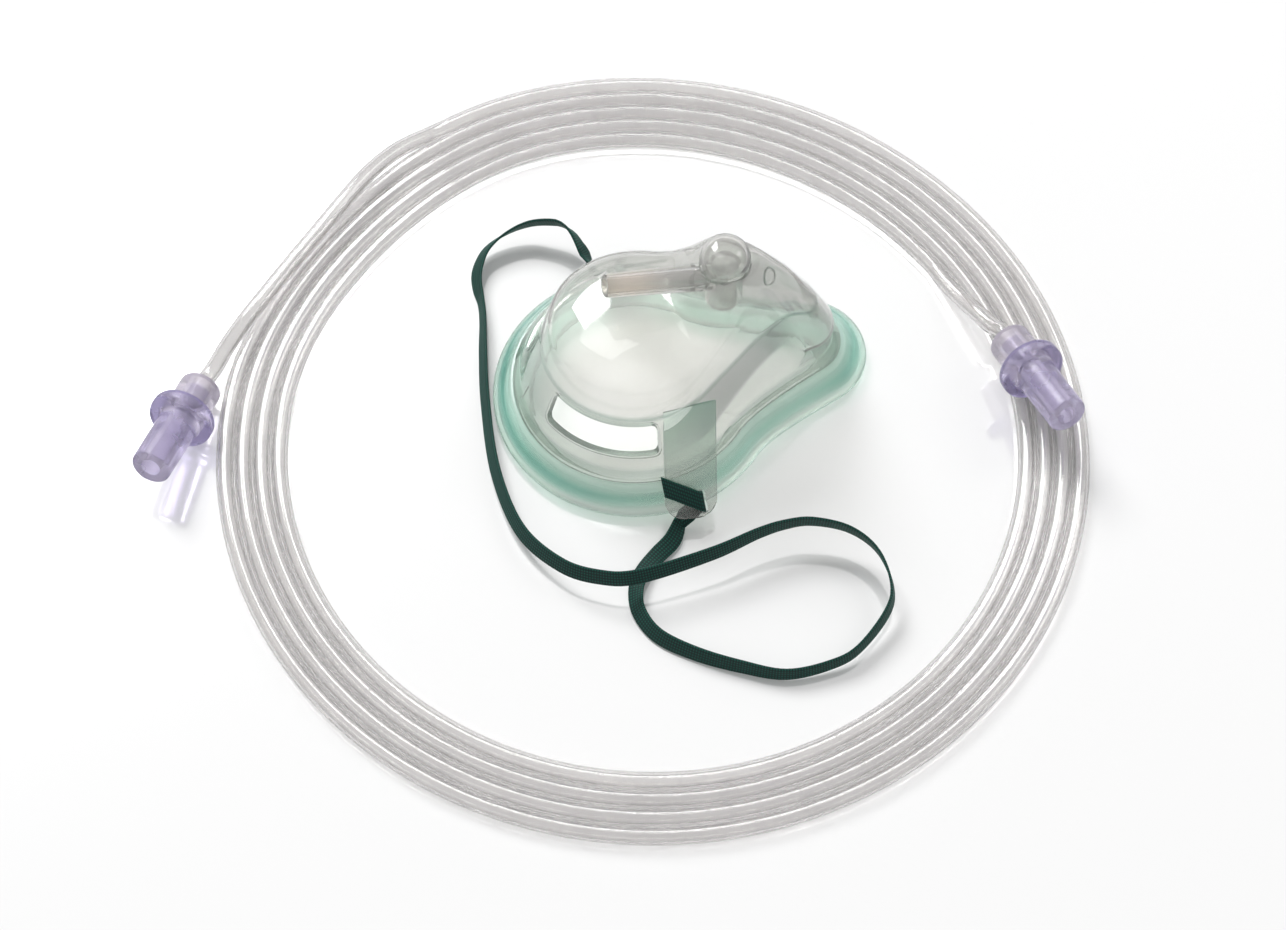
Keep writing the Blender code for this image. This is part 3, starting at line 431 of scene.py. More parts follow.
def tubeRoute():
    size, turns, straight = tube["diameter"], tube["turns"], tube["straight"]
    inner = tube["middleRadius"] - (turns - 1) * size / 2

    def polar(row):
        return coilPoint(radians(row[0]), row[1] * mm, row[2] * mm)

    def endOfCoil(angle, radius, sense):
        end = coilPoint(angle, radius + coilDent(angle), size / 2)
        away = angle - photoTurn + sense * pi / 2
        return [end + Vector((cos(away), sin(away), 0)) * straight, end]

    leftAt, leftDir = connectorPlace("left")
    rightAt, rightDir = connectorPlace("right")
    outer = inner + turns * size
    left = [leftAt.translation - leftDir * (gap + reach) for reach in (0, straight)]
    left += [polar(row) for row in leftLead] + endOfCoil(tube["joinsAt"], outer, 1)
    right = endOfCoil(tube["leavesAt"], inner - size, -1)[::-1] + [polar(row) for row in rightLead]
    right += [rightAt.translation - rightDir * (gap + reach) for reach in (straight, 0)]
    coil = []
    wide = tube["joinsAt"] - tube["leavesAt"]
    for strand in range(turns, -1, -1):
        base = inner + strand * size
        count = round(wide / tube["step"])
        for i in range(count + 1):
            angle = tube["joinsAt"] - wide * i / count
            shift = size * smoothStep(i / count, 0, 1)
            coil.append(coilPoint(angle, base - shift + coilDent(angle), size / 2))
        if strand == 0:
            break
        count = round((2 * pi - wide) / tube["step"])
        for i in range(1, count):
            angle = tube["leavesAt"] - (2 * pi - wide) * i / count
            coil.append(coilPoint(angle, base - size + coilDent(angle), size / 2))
    into = [leftAt.translation + leftDir * tube["inSocket"] * share for share in (1, 0.66, 0.33)]
    outOf = [rightAt.translation + rightDir * tube["inSocket"] * share for share in (0.33, 0.66, 1)]
    leftSmooth = [Vector(row) for row in curveThrough(left, tube["spacing"])]
    rightSmooth = [Vector(row) for row in curveThrough(right, tube["spacing"])]
    return into + leftSmooth[:-1] + coil + rightSmooth[1:] + outOf


def makeTube():
    route = np.array([tuple(p) for p in tubeRoute()])
    along = np.gradient(route, axis=0)
    along /= np.linalg.norm(along, axis=1)[:, None]
    side = np.cross(along, (0.0, 0.0, 1.0))
    side /= np.linalg.norm(side, axis=1)[:, None]
    up = np.cross(side, along)
    turn = 2 * pi * np.arange(tube["around"]) / tube["around"]
    ring = np.cos(turn)[None, :, None] * side[:, None, :] + np.sin(turn)[None, :, None] * up[:, None, :]
    outer = route[:, None, :] + (tube["diameter"] / 2 - tube["slack"]) * ring
    inner = route[:, None, :] + tube["bore"] * ring
    # out along the outer wall and back along the bore, so that both ends close as flat rings
    mesh = meshFromRings("supplyTube", np.concatenate([outer, inner[::-1]]), closedAlong=True)
    made = objectFromMesh("supplyTube", smoothOutward(mesh), clearTube)
    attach(made, "root")
    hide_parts("tube_coil", "tube_lead_left", "tube_lead_right")
    length = float(np.linalg.norm(np.diff(route, axis=0), axis=1).sum())
    print("supply tube made,", round(length, 3), "m in", len(route), "rings")
    return made, route, length


supplyTube, tubePath, tubeLength = makeTube()


# connectors, one on each end of the tube

def connectorProfile():
    half, soft, at = connector["flangeThick"] / 2, connector["flangeEdge"], connector["flangeAt"]
    socket, flange, barrel = connector["socketRadius"], connector["flangeRadius"], connector["barrelRadius"]
    length, fillet, inner = connector["length"], connector["fillet"], connector["innerRound"]
    hole = tube["diameter"] / 2 + connector["socketClear"]
    depth = tube["inSocket"] + connector["socketDeeper"]
    boreFrom = length - connector["boreDepth"]
    corners = (
        # radius, height, rounding
        (hole, 0, connector["holeRound"]), (socket, 0, connector["socketRound"]),
        (socket, at - half - 0.4 * mm, inner), (socket + fillet, at - half, inner),
        (flange, at - half, soft), (flange, at + half, soft),
        (barrel + fillet, at + half, inner), (barrel, at + half + 0.8 * mm, inner),
        (connector["mouthRadius"], length, connector["mouthRound"]),
        (connector["mouthBore"], length, connector["boreRound"]),
        (connector["boreEnd"], boreFrom + 0.6 * mm, inner), (tube["bore"], boreFrom + 0.4 * mm, inner),
        (tube["bore"], depth, inner), (hole, depth, inner),
    )
    return roundedCorners([corner[:2] for corner in corners], [corner[2] for corner in corners], 4)


def makeConnector(name, side, node):
    place = connectorPlace(side)[0]
    profile, around = connectorProfile(), connector["around"]
    rings, uvs = [], []
    for step, (radius, height) in enumerate(profile):
        turns = [2 * pi * i / around for i in range(around)]
        rings.append([tuple(place @ Vector((radius * cos(a), radius * sin(a), height))) for a in turns])
        uvs.append([(step / len(profile), k / around) for k in range(around)])
    mesh = meshFromRings(name, rings, closedAlong=True, uvs=uvs)
    made = objectFromMesh(name, smoothOutward(mesh), lilacPlastic)
    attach(made, "root")
    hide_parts(node)
    return made


leftConnector = makeConnector("connectorLeft", "left", "tube_connector_left")
rightConnector = makeConnector("connectorRight", "right", "tube_connector_right")
tuple(connectorPlace("left")[0].translation)
print("connectors made")


# lugs: where the strap goes through the shell's side strips

lug = {
    "width": 14.4 * mm, "thick": 1.3 * mm, "top": (-5.2 * mm, 24.9 * mm, 29.1 * mm),
    "end": (-9.8 * mm, 44.6 * mm, 5.5 * mm), "farPull": 2.7 * mm, "farTuck": 1.2 * mm, "skew": 2.0 * mm,
    "corner": 5.5 * mm, "cornerSteps": 12, "slotAcross": 3.4 * mm, "slotUp": 4.6 * mm, "slotWidth": 1.8 * mm,
    "slotTurn": radians(10), "slotClear": 0.3 * mm, "slotCorner": 0.5 * mm,
}


def lugPlace(side):
    # local Y runs down the lug from the ledge, local X along the mask, local Z out of it
    top = Vector((lug["top"][0], side * lug["top"][1], lug["top"][2]))
    # the strap draws the far lug's end to the chin and in to the seal
    pull, tuck = (lug["farPull"], lug["farTuck"]) if side > 0 else (0.0, 0.0)
    end = Vector((lug["end"][0] - pull, side * (lug["end"][1] - tuck), lug["end"][2]))
    down = (end - top).normalized()
    across = Vector((1, 0, 0))
    across = (across - down * across.dot(down)).normalized()
    out = across.cross(down)
    if out.z < 0:
        out.negate()
    place = Matrix((across, down, out)).transposed().to_4x4()
    place.translation = top
    return place, (end - top).length


def slotFrame(length):
    middle = Vector((lug["slotAcross"], length - lug["slotUp"]))
    along = Vector((sin(lug["slotTurn"]), cos(lug["slotTurn"])))
    return middle, along, Vector((-along.y, along.x))


# head strap, one woven elastic ribbon from lug to lug

strap = {
    "width": 5.0 * mm, "thick": 0.7 * mm, "fold": radians(36), "tail": 10.2 * mm, "farTail": 6.0 * mm,
    "under": 6.5 * mm, "sag": 1.5 * mm, "spacing": 1.6 * mm, "edge": 0.34 * mm,
}
# middle of the ribbon in mm, and the lean of its upper edge in degrees, far lug to near lug
strapRoute = (
    (-16.0, 47.6, 4.6, -48), (-16.8, 49.5, 6.2, -44), (-18.0, 53.2, 7.8, -34), (-20.1, 56.3, 8.6, -22),
    (-22.9, 58.2, 8.6, -16), (-29.3, 60.4, 7.2, -18), (-36.5, 59.8, 5.8, -27), (-43.2, 56.8, 4.4, -38),
    (-47.2, 51.3, 3.4, -42), (-48.5, 46.0, 2.8, -32), (-48.6, 40.8, 2.7, -20), (-49.6, 34.3, 2.7, -22),
    (-51.9, 24.4, 2.7, -27), (-55.1, 8.1, 2.7, -29), (-57.6, -15.0, 3.2, -29), (-55.5, -35.7, 4.6, -27),
    (-47.7, -49.9, 6.6, -24), (-38.5, -57.0, 8.0, -24), (-28.3, -60.0, 9.0, -24), (-7.9, -59.0, 10.2, -18),
    (5.5, -56.6, 10.8, -8), (13.4, -56.0, 11.0, -2), (20.8, -57.0, 11.0, 3), (29.9, -61.6, 10.2, 8),
    (35.5, -69.3, 9.0, 12), (36.4, -79.1, 7.2, 13), (33.1, -85.8, 5.8, 12), (23.1, -93.4, 4.2, 6),
    (14.8, -95.6, 3.3, 5), (2.5, -95.1, 2.8, 8), (-8.6, -89.7, 2.7, 16), (-19.3, -82.8, 2.6, 24),
    (-27.4, -75.1, 2.4, 32), (-30.4, -66.8, 2.2, 42), (-29.3, -59.8, 1.9, 58), (-26.2, -55.3, 1.7, 76),
    (-20.9, -51.3, 1.7, 96), (-15.8, -48.0, 2.2, 114),
)


def strapThroughLug(side):
    # (middle, half width) from the tail on a lug through its slot to the lug's underside
    place, length = lugPlace(side)
    middle, along, across = slotFrame(length)
    off = lug["thick"] / 2 + gap + strap["thick"] / 2
    bend = lug["slotWidth"] / 2
    tail = strap["farTail"] if side > 0 else strap["tail"]
    path = [(tail * share, off) for share in (1, 0.8, 0.6, 0.4, 0.25)]
    arc = []
    for a in range(0, 91, 15):
        arc.append((bend * (1 - sin(radians(a))), off - bend * (1 - cos(radians(a)))))
    path += arc + [(t, -z) for t, z in reversed(arc)]
    path += [(strap["under"] * share, -off) for share in (0.25, 0.5)]
    path.append((strap["under"], -off - strap["sag"]))
    half = place.to_3x3() @ Vector((*along, 0)) * (strap["width"] / 2 / cos(strap["fold"]))
    stations = []
    for t, z in path:
        slant = t * tan(strap["fold"]) * (-1 if z > 0 else 1)
        stations.append((place @ Vector((*(middle + across * t + along * slant), z)), half))
    return stations


def strapStations():
    far, near = strapThroughLug(1), strapThroughLug(-1)
    places = [Vector(row[:3]) * mm for row in strapRoute]
    walk = [far[-1][0], *places, near[-1][0]]
    rows = [far[-1]]
    for i, row in enumerate(strapRoute):
        along = (walk[i + 2] - walk[i]).normalized()
        right = along.cross(Vector((0, 0, 1))).normalized()
        up = right.cross(along).normalized()
        lean = radians(row[3])
        rows.append((places[i], (up * cos(lean) + right * sin(lean)) * strap["width"] / 2))
    rows.append(near[-1])
    for end, inward in ((0, 1), (-1, -2)):
        middle, half = rows[end]
        if half.dot(rows[inward][1]) < 0:
            rows[end] = (middle, -half)
    sampled = curveThrough([(*middle, *half) for middle, half in rows], strap["spacing"])
    free = [(Vector(row[:3]), Vector(row[3:])) for row in sampled]
    farSign = 1 if free[0][1].dot(far[-1][1]) > 0 else -1
    nearSign = 1 if free[-1][1].dot(near[-1][1]) > 0 else -1
    start = [(middle, half * farSign) for middle, half in far[:-1]]
    end = [(middle, half * nearSign) for middle, half in reversed(near[:-1])]
    return start, free, end


def makeStrap():
    start, free, end = strapStations()
    stations = start + free + end
    # the ribbon's section as (share of half width, share of half thickness), with softened edges
    soft = strap["edge"] / (strap["width"] / 2)
    flat = 1 - soft
    section = [(-flat, -1), (-flat / 2, -1), (0, -1), (flat / 2, -1), (flat, -1)]
    section += [(flat + soft * 0.7, -0.7), (1, 0), (flat + soft * 0.7, 0.7)]
    section += [(-a, -b) for a, b in section]
    rings, uvs, walked = [], [], 0.0
    for i, (middle, half) in enumerate(stations):
        before = stations[max(i - 1, 0)][0]
        after = stations[min(i + 1, len(stations) - 1)][0]
        along = (after - before).normalized()
        if len(start) < i < len(start) + len(free) - 1:
            half = (half - along * half.dot(along)).normalized() * strap["width"] / 2
        thick = half.cross(along).normalized() * strap["thick"] / 2
        if i:
            walked += (middle - before).length
        rings.append([tuple(middle + half * a + thick * b) for a, b in section])
        uvs.append([(a * strap["width"] / 2, walked) for a, b in section])
    mesh = meshFromRings("headStrap", rings, capEnds=True, uvs=uvs)
    made = objectFromMesh("headStrap", smoothOutward(mesh), wovenElastic)
    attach(made, "root")
    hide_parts("head_strap")
    path = [tuple(middle) for middle, half in stations]
    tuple(path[0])


makeStrap()


# the mask's outlines: a chin arc and a nose arc joined by a dented cheek

outline = {
    "chinX": -13.75 * mm, "chinRadius": 40.0 * mm, "chinSweep": radians(133),
    "noseX": 35.95 * mm, "noseRadius": 17.8 * mm, "noseSweep": radians(70), "noseBack": 2.0 * mm,
    "rimIn": 6.0 * mm, "cheekPull": 0.8, "chinSteps": 64, "cheekSteps": 44, "noseSteps": 26,
}
ledge = {
    "radius": 25.8 * mm, "sweep": radians(124), "noseX": 30.0 * mm, "noseRadius": 7.6 * mm,
    "noseSweep": radians(66), "height": 29.5 * mm, "peak": 39.5 * mm, "tip": 32.0 * mm,
    "riseFrom": -2.0 * mm, "riseTo": 26.0 * mm, "stepHeight": 12.2 * mm, "stepOut": 4.2 * mm,
    "stepProud": 0.4 * mm, "stepEnd": 0.72, "stepEndRun": 0.10, "flankHeight": 0.45, "flankBulge": 1.2 * mm,
}


def egg(chinX, chinR, chinSweep, noseX, noseR, noseSweep):
    points = []
    for i in range(outline["chinSteps"]):
        a = chinSweep * i / outline["chinSteps"]
        points.append(Vector((chinX - chinR * cos(a), -chinR * sin(a))))
    start = Vector((chinX - chinR * cos(chinSweep), -chinR * sin(chinSweep)))
    end = Vector((noseX + noseR * cos(noseSweep), -noseR * sin(noseSweep)))
    pull = (end - start).length * outline["cheekPull"]
    leave = Vector((sin(chinSweep), -cos(chinSweep))) * pull
    arrive = Vector((sin(noseSweep), cos(noseSweep))) * pull
    for i in range(outline["cheekSteps"]):
        t = i / outline["cheekSteps"]
        points.append(
            start * (2 * t**3 - 3 * t**2 + 1) + leave * (t**3 - 2 * t**2 + t)
            + end * (3 * t**2 - 2 * t**3) + arrive * (t**3 - t**2)
        )
    for i in range(outline["noseSteps"] + 1):
        b = noseSweep * (1 - i / outline["noseSteps"])
        points.append(Vector((noseX + noseR * cos(b), -noseR * sin(b))))
    return points


def sealOutline(inset):
    back = outline["noseBack"] * inset / outline["rimIn"]
    return egg(
        outline["chinX"], outline["chinRadius"] - inset, outline["chinSweep"],
        outline["noseX"] - back, outline["noseRadius"] - inset, outline["noseSweep"],
    )


def bothSides(half):
    return half + [Vector((p.x, -p.y)) for p in half[-2:0:-1]]


# face seal, a soft rolled cushion under the shell's rim

seal = {
    "height": 9.8 * mm, "wall": 1.5 * mm, "rollHeight": 2.6 * mm, "creaseIn": 2.4 * mm,
    "creaseHeight": 5.4 * mm, "footIn": 2.2 * mm, "footWidth": 3.6 * mm, "lipIn": 12.0 * mm,
    "lipHeight": 3.0 * mm, "rounding": 0.9 * mm, "topOut": 1.0 * mm, "topDepth": 1.2 * mm,
    # where the teal runs deeper: along the mask at the chin and at the nose, and across the roll's crest
    "deeperX": ((12 * mm, 46 * mm), (28 * mm, 46 * mm)), "deeperNose": 0.7, "crest": (0.03, 0.08, 0.13, 0.19),
}


def sealSection():
    # (inset from the outline, height), up the outside, over the foot and lip and back up the inside
    wall, roll, lipIn, lip = seal["wall"], seal["rollHeight"], seal["lipIn"], seal["lipHeight"]
    footIn, footEnd = seal["footIn"], seal["footIn"] + seal["footWidth"]
    top, topIn = seal["height"], outline["rimIn"] - seal["topOut"]
    topEnd = topIn + wall + 0.9 * mm
    return [
        (topIn, top), (seal["creaseIn"], seal["creaseHeight"]), (0.3 * mm, roll + 1.3 * mm), (0, roll),
        (0.6 * mm, 0.8 * mm), (footIn, 0), (footEnd, 0), (lipIn - 2.5 * mm, lip - 2.0 * mm), (lipIn, lip),
        (lipIn - 1.2 * mm, lip + 0.6 * mm), (footEnd + 0.2 * mm, wall), (footIn + 0.5 * mm, wall + 0.2 * mm),
        (wall + 0.1 * mm, roll + 0.4 * mm), (seal["creaseIn"] + wall, seal["creaseHeight"] - 0.5 * mm),
        (topEnd, top - seal["topDepth"]), (topEnd, top),
    ]


def crestTone(share, x):
    # how much deeper the crest of the roll is, at the chin and at the nose end
    atChin, atNose = seal["deeperX"]
    ends = smoothStep(-x, *atChin) + seal["deeperNose"] * smoothStep(x, *atNose)
    return ends * smoothStep(share, *seal["crest"][:2]) * (1 - smoothStep(share, *seal["crest"][2:]))


def makeSeal():
    rings, uvs, walked = [], [], 0.0
    section = sealSection()
    section = roundedCorners(section, [seal["rounding"]] * len(section))
    whole = sum((b - a).length for a, b in zip(section, section[1:]))
    for i, (inset, height) in enumerate(section):
        walked += (section[i] - section[i - 1]).length if i else 0.0
        outer = bothSides(sealOutline(inset))
        rings.append([(p.x, p.y, height) for p in outer])
        uvs.append([(walked / whole, crestTone(walked / whole, p.x)) for p in outer])
    mesh = meshFromRings("faceSeal", rings, closedAlong=True, uvs=uvs)
    made = objectFromMesh("faceSeal", smoothOutward(mesh), greenSeal)
    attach(made, "root")
    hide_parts("face_seal")
    print("face seal made")


makeSeal()


# clear shell: cup, stepped side wall with two ports, turret, spigot and strap lugs

shell = {
    "wall": 1.2 * mm, "flareHeight": 3.2 * mm, "flareIn": 2.2 * mm, "crownX": (-13.75 * mm, 12.0 * mm),
    "crownHeight": (45.0 * mm, 58.0 * mm), "crownRiseX": (-3.5 * mm, 14.3 * mm), "crownPower": (3.0, 2.45),
    "crownFullness": (0.42, 1.2), "crownChangeX": (5.0 * mm, 30.0 * mm), "foldRound": 0.9 * mm,
    "neckLift": 3.6 * mm, "neckReach": (6.4 * mm, 18.0 * mm), "neckPower": 1.5,
    "cupRows": 20, "cupSpread": 1.25, "mouldLine": (0.25 * mm, 0.25 * mm),
    # where the grey strip of painted reflection and the chin's tone begin and end along the mask
    "reflectionStripX": ((-12 * mm, 2 * mm), (22 * mm, 29 * mm)), "chinX": (-50 * mm, -26 * mm),
}
turret = {
    "x": 11.0 * mm, "radius": 6.9 * mm, "top": 64.5 * mm, "rounding": 5.2 * mm, "collarHeight": 42.0 * mm,
    "collarRadius": 5.0 * mm, "domeFoot": (55.4 * mm, 56.6 * mm),
    "spigotLength": 33.6 * mm, "spigotRootHeight": 51.6 * mm, "spigotTilt": radians(12.5),
    "spigotRoot": 4.0 * mm, "spigotTip": 3.15 * mm, "spigotBore": 2.1 * mm, "around": 64,
    "spigotSoft": 0.3 * mm, "spigotRings": 9, "boreBeyond": 2.0 * mm,
    "gateAt": (22.0 * mm, -4.6 * mm), "gateRadius": 2.6 * mm, "gateRise": 0.45 * mm, "gateRoot": 0.9 * mm,
}
port = {
    "from": radians(22), "to": radians(88), "sill": 1.0 * mm, "head": 1.6 * mm, "corner": 1.5 * mm,
    "clear": 4.0 * mm, "steps": 64, "rimWide": 0.7 * mm, "rimProud": 0.25 * mm,
}


def ledgeHeight(x):
    rise = smoothStep(x, ledge["riseFrom"], ledge["riseTo"])
    fall = smoothStep(x, ledge["riseTo"], ledge["noseX"] + ledge["noseRadius"])
    return ledge["height"] + (ledge["peak"] - ledge["height"]) * rise - (ledge["peak"] - ledge["tip"]) * fall


def shellColumn(index, rim, flare, ledgeLine):
    # the outer face from rim to crown on one near-side column
    here = ledgeLine[index]
    rimZ = seal["height"] + 2 * gap
    top = Vector((here.x, here.y, ledgeHeight(here.x)))
    outward = (rim[index] - here).normalized()
    chinShare = 1 - smoothStep(here.x, outline["chinX"], ledge["riseTo"])
    stepOut = outward * (ledge["stepOut"] * chinShare + ledge["stepProud"])
    stepFoot = Vector((*(here + stepOut), top.z - ledge["stepHeight"]))
    flank = rim[index].lerp(here, ledge["flankHeight"]) + outward * ledge["flankBulge"]
    plainFoot = Vector((*flank, rimZ + (top.z - rimZ) * ledge["flankHeight"]))
    cheek = (index - outline["chinSteps"]) / outline["cheekSteps"]
    plainShare = smoothStep(cheek, ledge["stepEnd"], ledge["stepEnd"] + ledge["stepEndRun"])
    foot = stepFoot.lerp(plainFoot, plainShare)
    corners = [Vector((*rim[index], rimZ)), Vector((*flare[index], rimZ + shell["flareHeight"])), foot, top]
    crownX = min(max(here.x, shell["crownX"][0]), shell["crownX"][1])
    crown = Vector((crownX, 0, between(shell["crownHeight"], smoothStep(crownX, *shell["crownRiseX"]))))
    change = smoothStep(top.x, *shell["crownChangeX"])
    power, fullness = between(shell["crownPower"], change), between(shell["crownFullness"], change)
    cup = []
    for row in range(1, shell["cupRows"]):
        share = 1 - (row / shell["cupRows"]) ** shell["cupSpread"]
        height = top.z + (crown.z - top.z) * (1 - share**power) ** fullness
        flat = crown.lerp(top, share)
        cup.append(Vector((flat.x, flat.y, height)))
    cup.append(crown)
    # soften the three folds below the cup
    points = [corners[0]]
    chain = [*corners, cup[2]]
    for before, corner, after in zip(chain, chain[1:], chain[2:]):
        points += cornerCurve(before, corner, after, shell["foldRound"], 4, most=0.4)
    points += cup[2:]
    for point in points:
        away = hypot(point.x - turret["x"], point.y)
        point.z += shell["neckLift"] * (1 - smoothStep(away, *shell["neckReach"])) ** shell["neckPower"]
    return points


def ledgePlan():
    return egg(
        outline["chinX"], ledge["radius"], ledge["sweep"],
        ledge["noseX"], ledge["noseRadius"], ledge["noseSweep"],
    )


def wallTone(row, x):
    # how grey (a painted reflection on the strip, and greyer towards the chin), how dark the painted shade
    # line along the folds, how warm and how green the wall is, by row of its column: six rows are the skirt,
    # five the step and five the ledge's fold
    stripFrom, stripTo = shell["reflectionStripX"]
    reflectionStrip = smoothStep(x, *stripFrom) * (1 - smoothStep(x, *stripTo))
    chin = 1 - smoothStep(x, *shell["chinX"])
    either = max(reflectionStrip, chin * 0.4)
    greyAndReflection = [0.15 * chin] * 6 + [0.35 * chin * either, (0.7 * reflectionStrip + 0.2) * either]
    greyAndReflection += [either] * 5 + [0.7 * either, 0.2 * either, 0]
    # painted shade lines at the rim's flare and the ledge's fold
    foldShade = [0.5, 0.6, 0.5, 0.35, 0.2, 0.1, *[0.2] * 5, 0.1, 0.6, 0.8, 0.5, 0]
    greens = [0.25 * chin] * 6 + [0.2 * chin] * 5 + [0.1 * chin] * 5
    return (greyAndReflection[row], foldShade[row], 0, greens[row]) if row < len(foldShade) else (0, 0, 0, 0)


def addShellWall(bm):
    tone = bm.verts.layers.float_color["tone"]
    rim = sealOutline(outline["rimIn"])
    flare = sealOutline(outline["rimIn"] + shell["flareIn"])
    ledgeLine = ledgePlan()
    last = len(rim) - 1
    made = {}

    def column(i, side):
        found = []
        for row, point in enumerate(shellColumn(i, rim, flare, ledgeLine)):
            key = tuple(round(v / mm, 4) for v in (point.x, side * point.y, point.z))
            if key not in made:
                made[key] = bm.verts.new((point.x, side * point.y, point.z))
                made[key][tone] = wallTone(row, point.x)
            found.append(made[key])
        return found

    columns = [column(i, 1) for i in range(last + 1)]
    columns += [column(i, -1) for i in range(last - 1, 0, -1)]
    for i, column in enumerate(columns):
        following = columns[(i + 1) % len(columns)]
        for low in range(len(column) - 1):
            face = []
            for corner in (column[low], following[low], following[low + 1], column[low + 1]):
                if corner not in face:
                    face.append(corner)
            if len(face) > 2:
                bm.faces.new(face)
    bmesh.ops.recalc_face_normals(bm, faces=bm.faces)
    bm.normal_update()
    if sum(f.normal.z for f in bm.faces) < 0:
        bmesh.ops.reverse_faces(bm, faces=bm.faces)
        bm.normal_update()
    outer = list(bm.verts)
    rimZ = min(v.co.z for v in outer)
    inner = {}
    for v in outer:
        n = v.normal.copy()
        if v.co.z < rimZ + 1e-6:
            n.z = 0
            n.normalize()
        inner[v] = bm.verts.new(v.co - n * shell["wall"])
        inner[v][tone] = v[tone]
    for face in list(bm.faces):
        bm.faces.new([inner[v] for v in reversed(face.verts)])
    for edge in [e for e in bm.edges if len(e.link_faces) == 1]:
        a, b = edge.verts
        if a in inner and b in inner:
            bm.faces.new([a, b, inner[b], inner[a]])


def addTurned(bm, profile, place=Matrix()):
    # a closed solid turned about Z from (radius, height) points that start and end on the axis
    rings, around = [], turret["around"]
    for radius, height in profile:
        if radius < 1e-7:
            rings.append([bm.verts.new(place @ Vector((0, 0, height)))])
            continue
        ring = []
        for i in range(around):
            a = 2 * pi * (i + 0.5) / around
            ring.append(bm.verts.new(place @ Vector((radius * cos(a), radius * sin(a), height))))
        rings.append(ring)
    for below, above in zip(rings, rings[1:]):
        for i in range(around):
            j = (i + 1) % around
            face = []
            for ring, k in ((below, i), (below, j), (above, j), (above, i)):
                if ring[k % len(ring)] not in face:
                    face.append(ring[k % len(ring)])
            bm.faces.new(face)


def joinRows(bm, rows):
    # a closed solid from rows of corners, each row one loop round it
    for a, b in zip(rows, rows[1:]):
        for i in range(len(a)):
            j = (i + 1) % len(a)
            bm.faces.new([a[i], a[j], b[j], b[i]])
    bm.faces.new(rows[0])
    bm.faces.new(rows[-1])


def addPlate(bm, points, thickness, place):
    faces = (-thickness / 2, thickness / 2)
    joinRows(bm, [[bm.verts.new(place @ Vector((x, y, z))) for x, y in points] for z in faces])


def addPort(bm, side, grow=0.0, proud=None):
    # the opening in the step wall or, with proud, the raised frame round it that follows the wall
    low = ledge["height"] - ledge["stepHeight"] + port["sill"] - grow
    high = ledge["height"] - port["head"] + grow
    turn = grow / ledge["radius"]
    start, end, corner = port["from"] - turn, port["to"] + turn, port["corner"] + grow

    def radii(z):
        if proud is None:
            far = ledge["radius"] + ledge["stepOut"] + port["clear"]
            return ledge["radius"] - shell["wall"] - port["clear"], far
        reach = ledge["stepOut"] + ledge["stepProud"]
        wall = ledge["radius"] + reach * (ledge["height"] - z) / ledge["stepHeight"]
        return wall - 0.8 * shell["wall"], wall + proud

    rows = []
    for i in range(port["steps"] + 1):
        a = start + (end - start) * i / port["steps"]
        # quarter-round corners at both ends of the opening
        fromEnd = min(a - start, end - a) * ledge["radius"]
        short = max(0.0, 1 - fromEnd / corner)
        lift = corner * (1 - (1 - short**2) ** 0.5)
        row = []
        for z in (low + lift, high - lift):
            nearRadius, farRadius = radii(z)
            order = (nearRadius, farRadius) if z < (low + high) / 2 else (farRadius, nearRadius)
            for r in order:
                row.append(bm.verts.new((outline["chinX"] - r * cos(a), side * r * sin(a), z)))
        rows.append(row)
    joinRows(bm, rows)


def roundedCap(radius, top, rounding, steps=12):
    points = []
    for i in range(steps + 1):
        a = pi / 2 * i / steps
        points.append((radius - rounding + rounding * cos(a), top - rounding + rounding * sin(a)))
    return points + [(0, top)]


def lugOutline(length):
    half, corner, steps = lug["width"] / 2, lug["corner"], lug["cornerSteps"]
    side = []
    for i in range(steps + 1):
        a = pi / 2 * i / steps
        side.append((-half + corner * (1 - cos(a)), length - corner * (1 - sin(a))))
    return [(-half, 0), *side, *[(-x, y) for x, y in reversed(side)], (half, -lug["skew"])]


def slotOutline(length):
    middle, along, across = slotFrame(length)
    halfLong = along * (strap["width"] / 2 / cos(strap["fold"]) + lug["slotClear"])
    halfWide = across * lug["slotWidth"] / 2
    corners = (-halfLong - halfWide, halfLong - halfWide, halfLong + halfWide, halfWide - halfLong)
    rounded = roundedCorners([middle + corner for corner in corners], [lug["slotCorner"]] * 4)
    return [tuple(p) for p in rounded]


def addMouldLine(bm):
    # the fine ridge that the mould's parting leaves at the chin, from the rim to the step
    wide, high = shell["mouldLine"]
    rim, flare = (sealOutline(outline["rimIn"] + more) for more in (0, shell["flareIn"]))
    line = shellColumn(0, rim, flare, ledgePlan())[1:11]
    rows = []
    for i, point in enumerate(line):
        along = (line[min(i + 1, len(line) - 1)] - line[max(i - 1, 0)]).normalized()
        out = Vector((-along.z, 0, along.x))
        side = Vector((0, wide, 0))
        sunk = out * 3 * high
        rows.append([bm.verts.new(p) for p in (
            point - side - sunk, point + side - sunk, point + side, point + out * high, point - side,
        )])
    joinRows(bm, rows)


def helperObject(name, maker, tones=None):
    # tones gives (grey, painted shade of a fold line, warm, green) at a place; two maps carry them through
    # the Booleans
    bm = bmesh.new()
    tone = bm.verts.layers.float_color.new("tone")
    maker(bm)
    if tones:
        for v in bm.verts:
            v[tone] = tones(v.co)
    marks = np.array([tuple(v[tone]) for v in bm.verts], np.float32)
    bmesh.ops.recalc_face_normals(bm, faces=bm.faces)
    bm.verts.layers.float_color.remove(tone)
    mesh = bpy.data.meshes.new(name)
    bm.to_mesh(mesh)
    bm.free()
    corner = np.zeros(len(mesh.loops), np.int32)
    mesh.loops.foreach_get("vertex_index", corner)
    for mapName, first in (("tone", 0), ("tint", 2)):
        layer = mesh.uv_layers.new(name=mapName)
        layer.data.foreach_set("uv", marks[corner, first:first + 2].ravel())
    made = bpy.data.objects.new(name, mesh)
    scene.collection.objects.link(made)
    return made


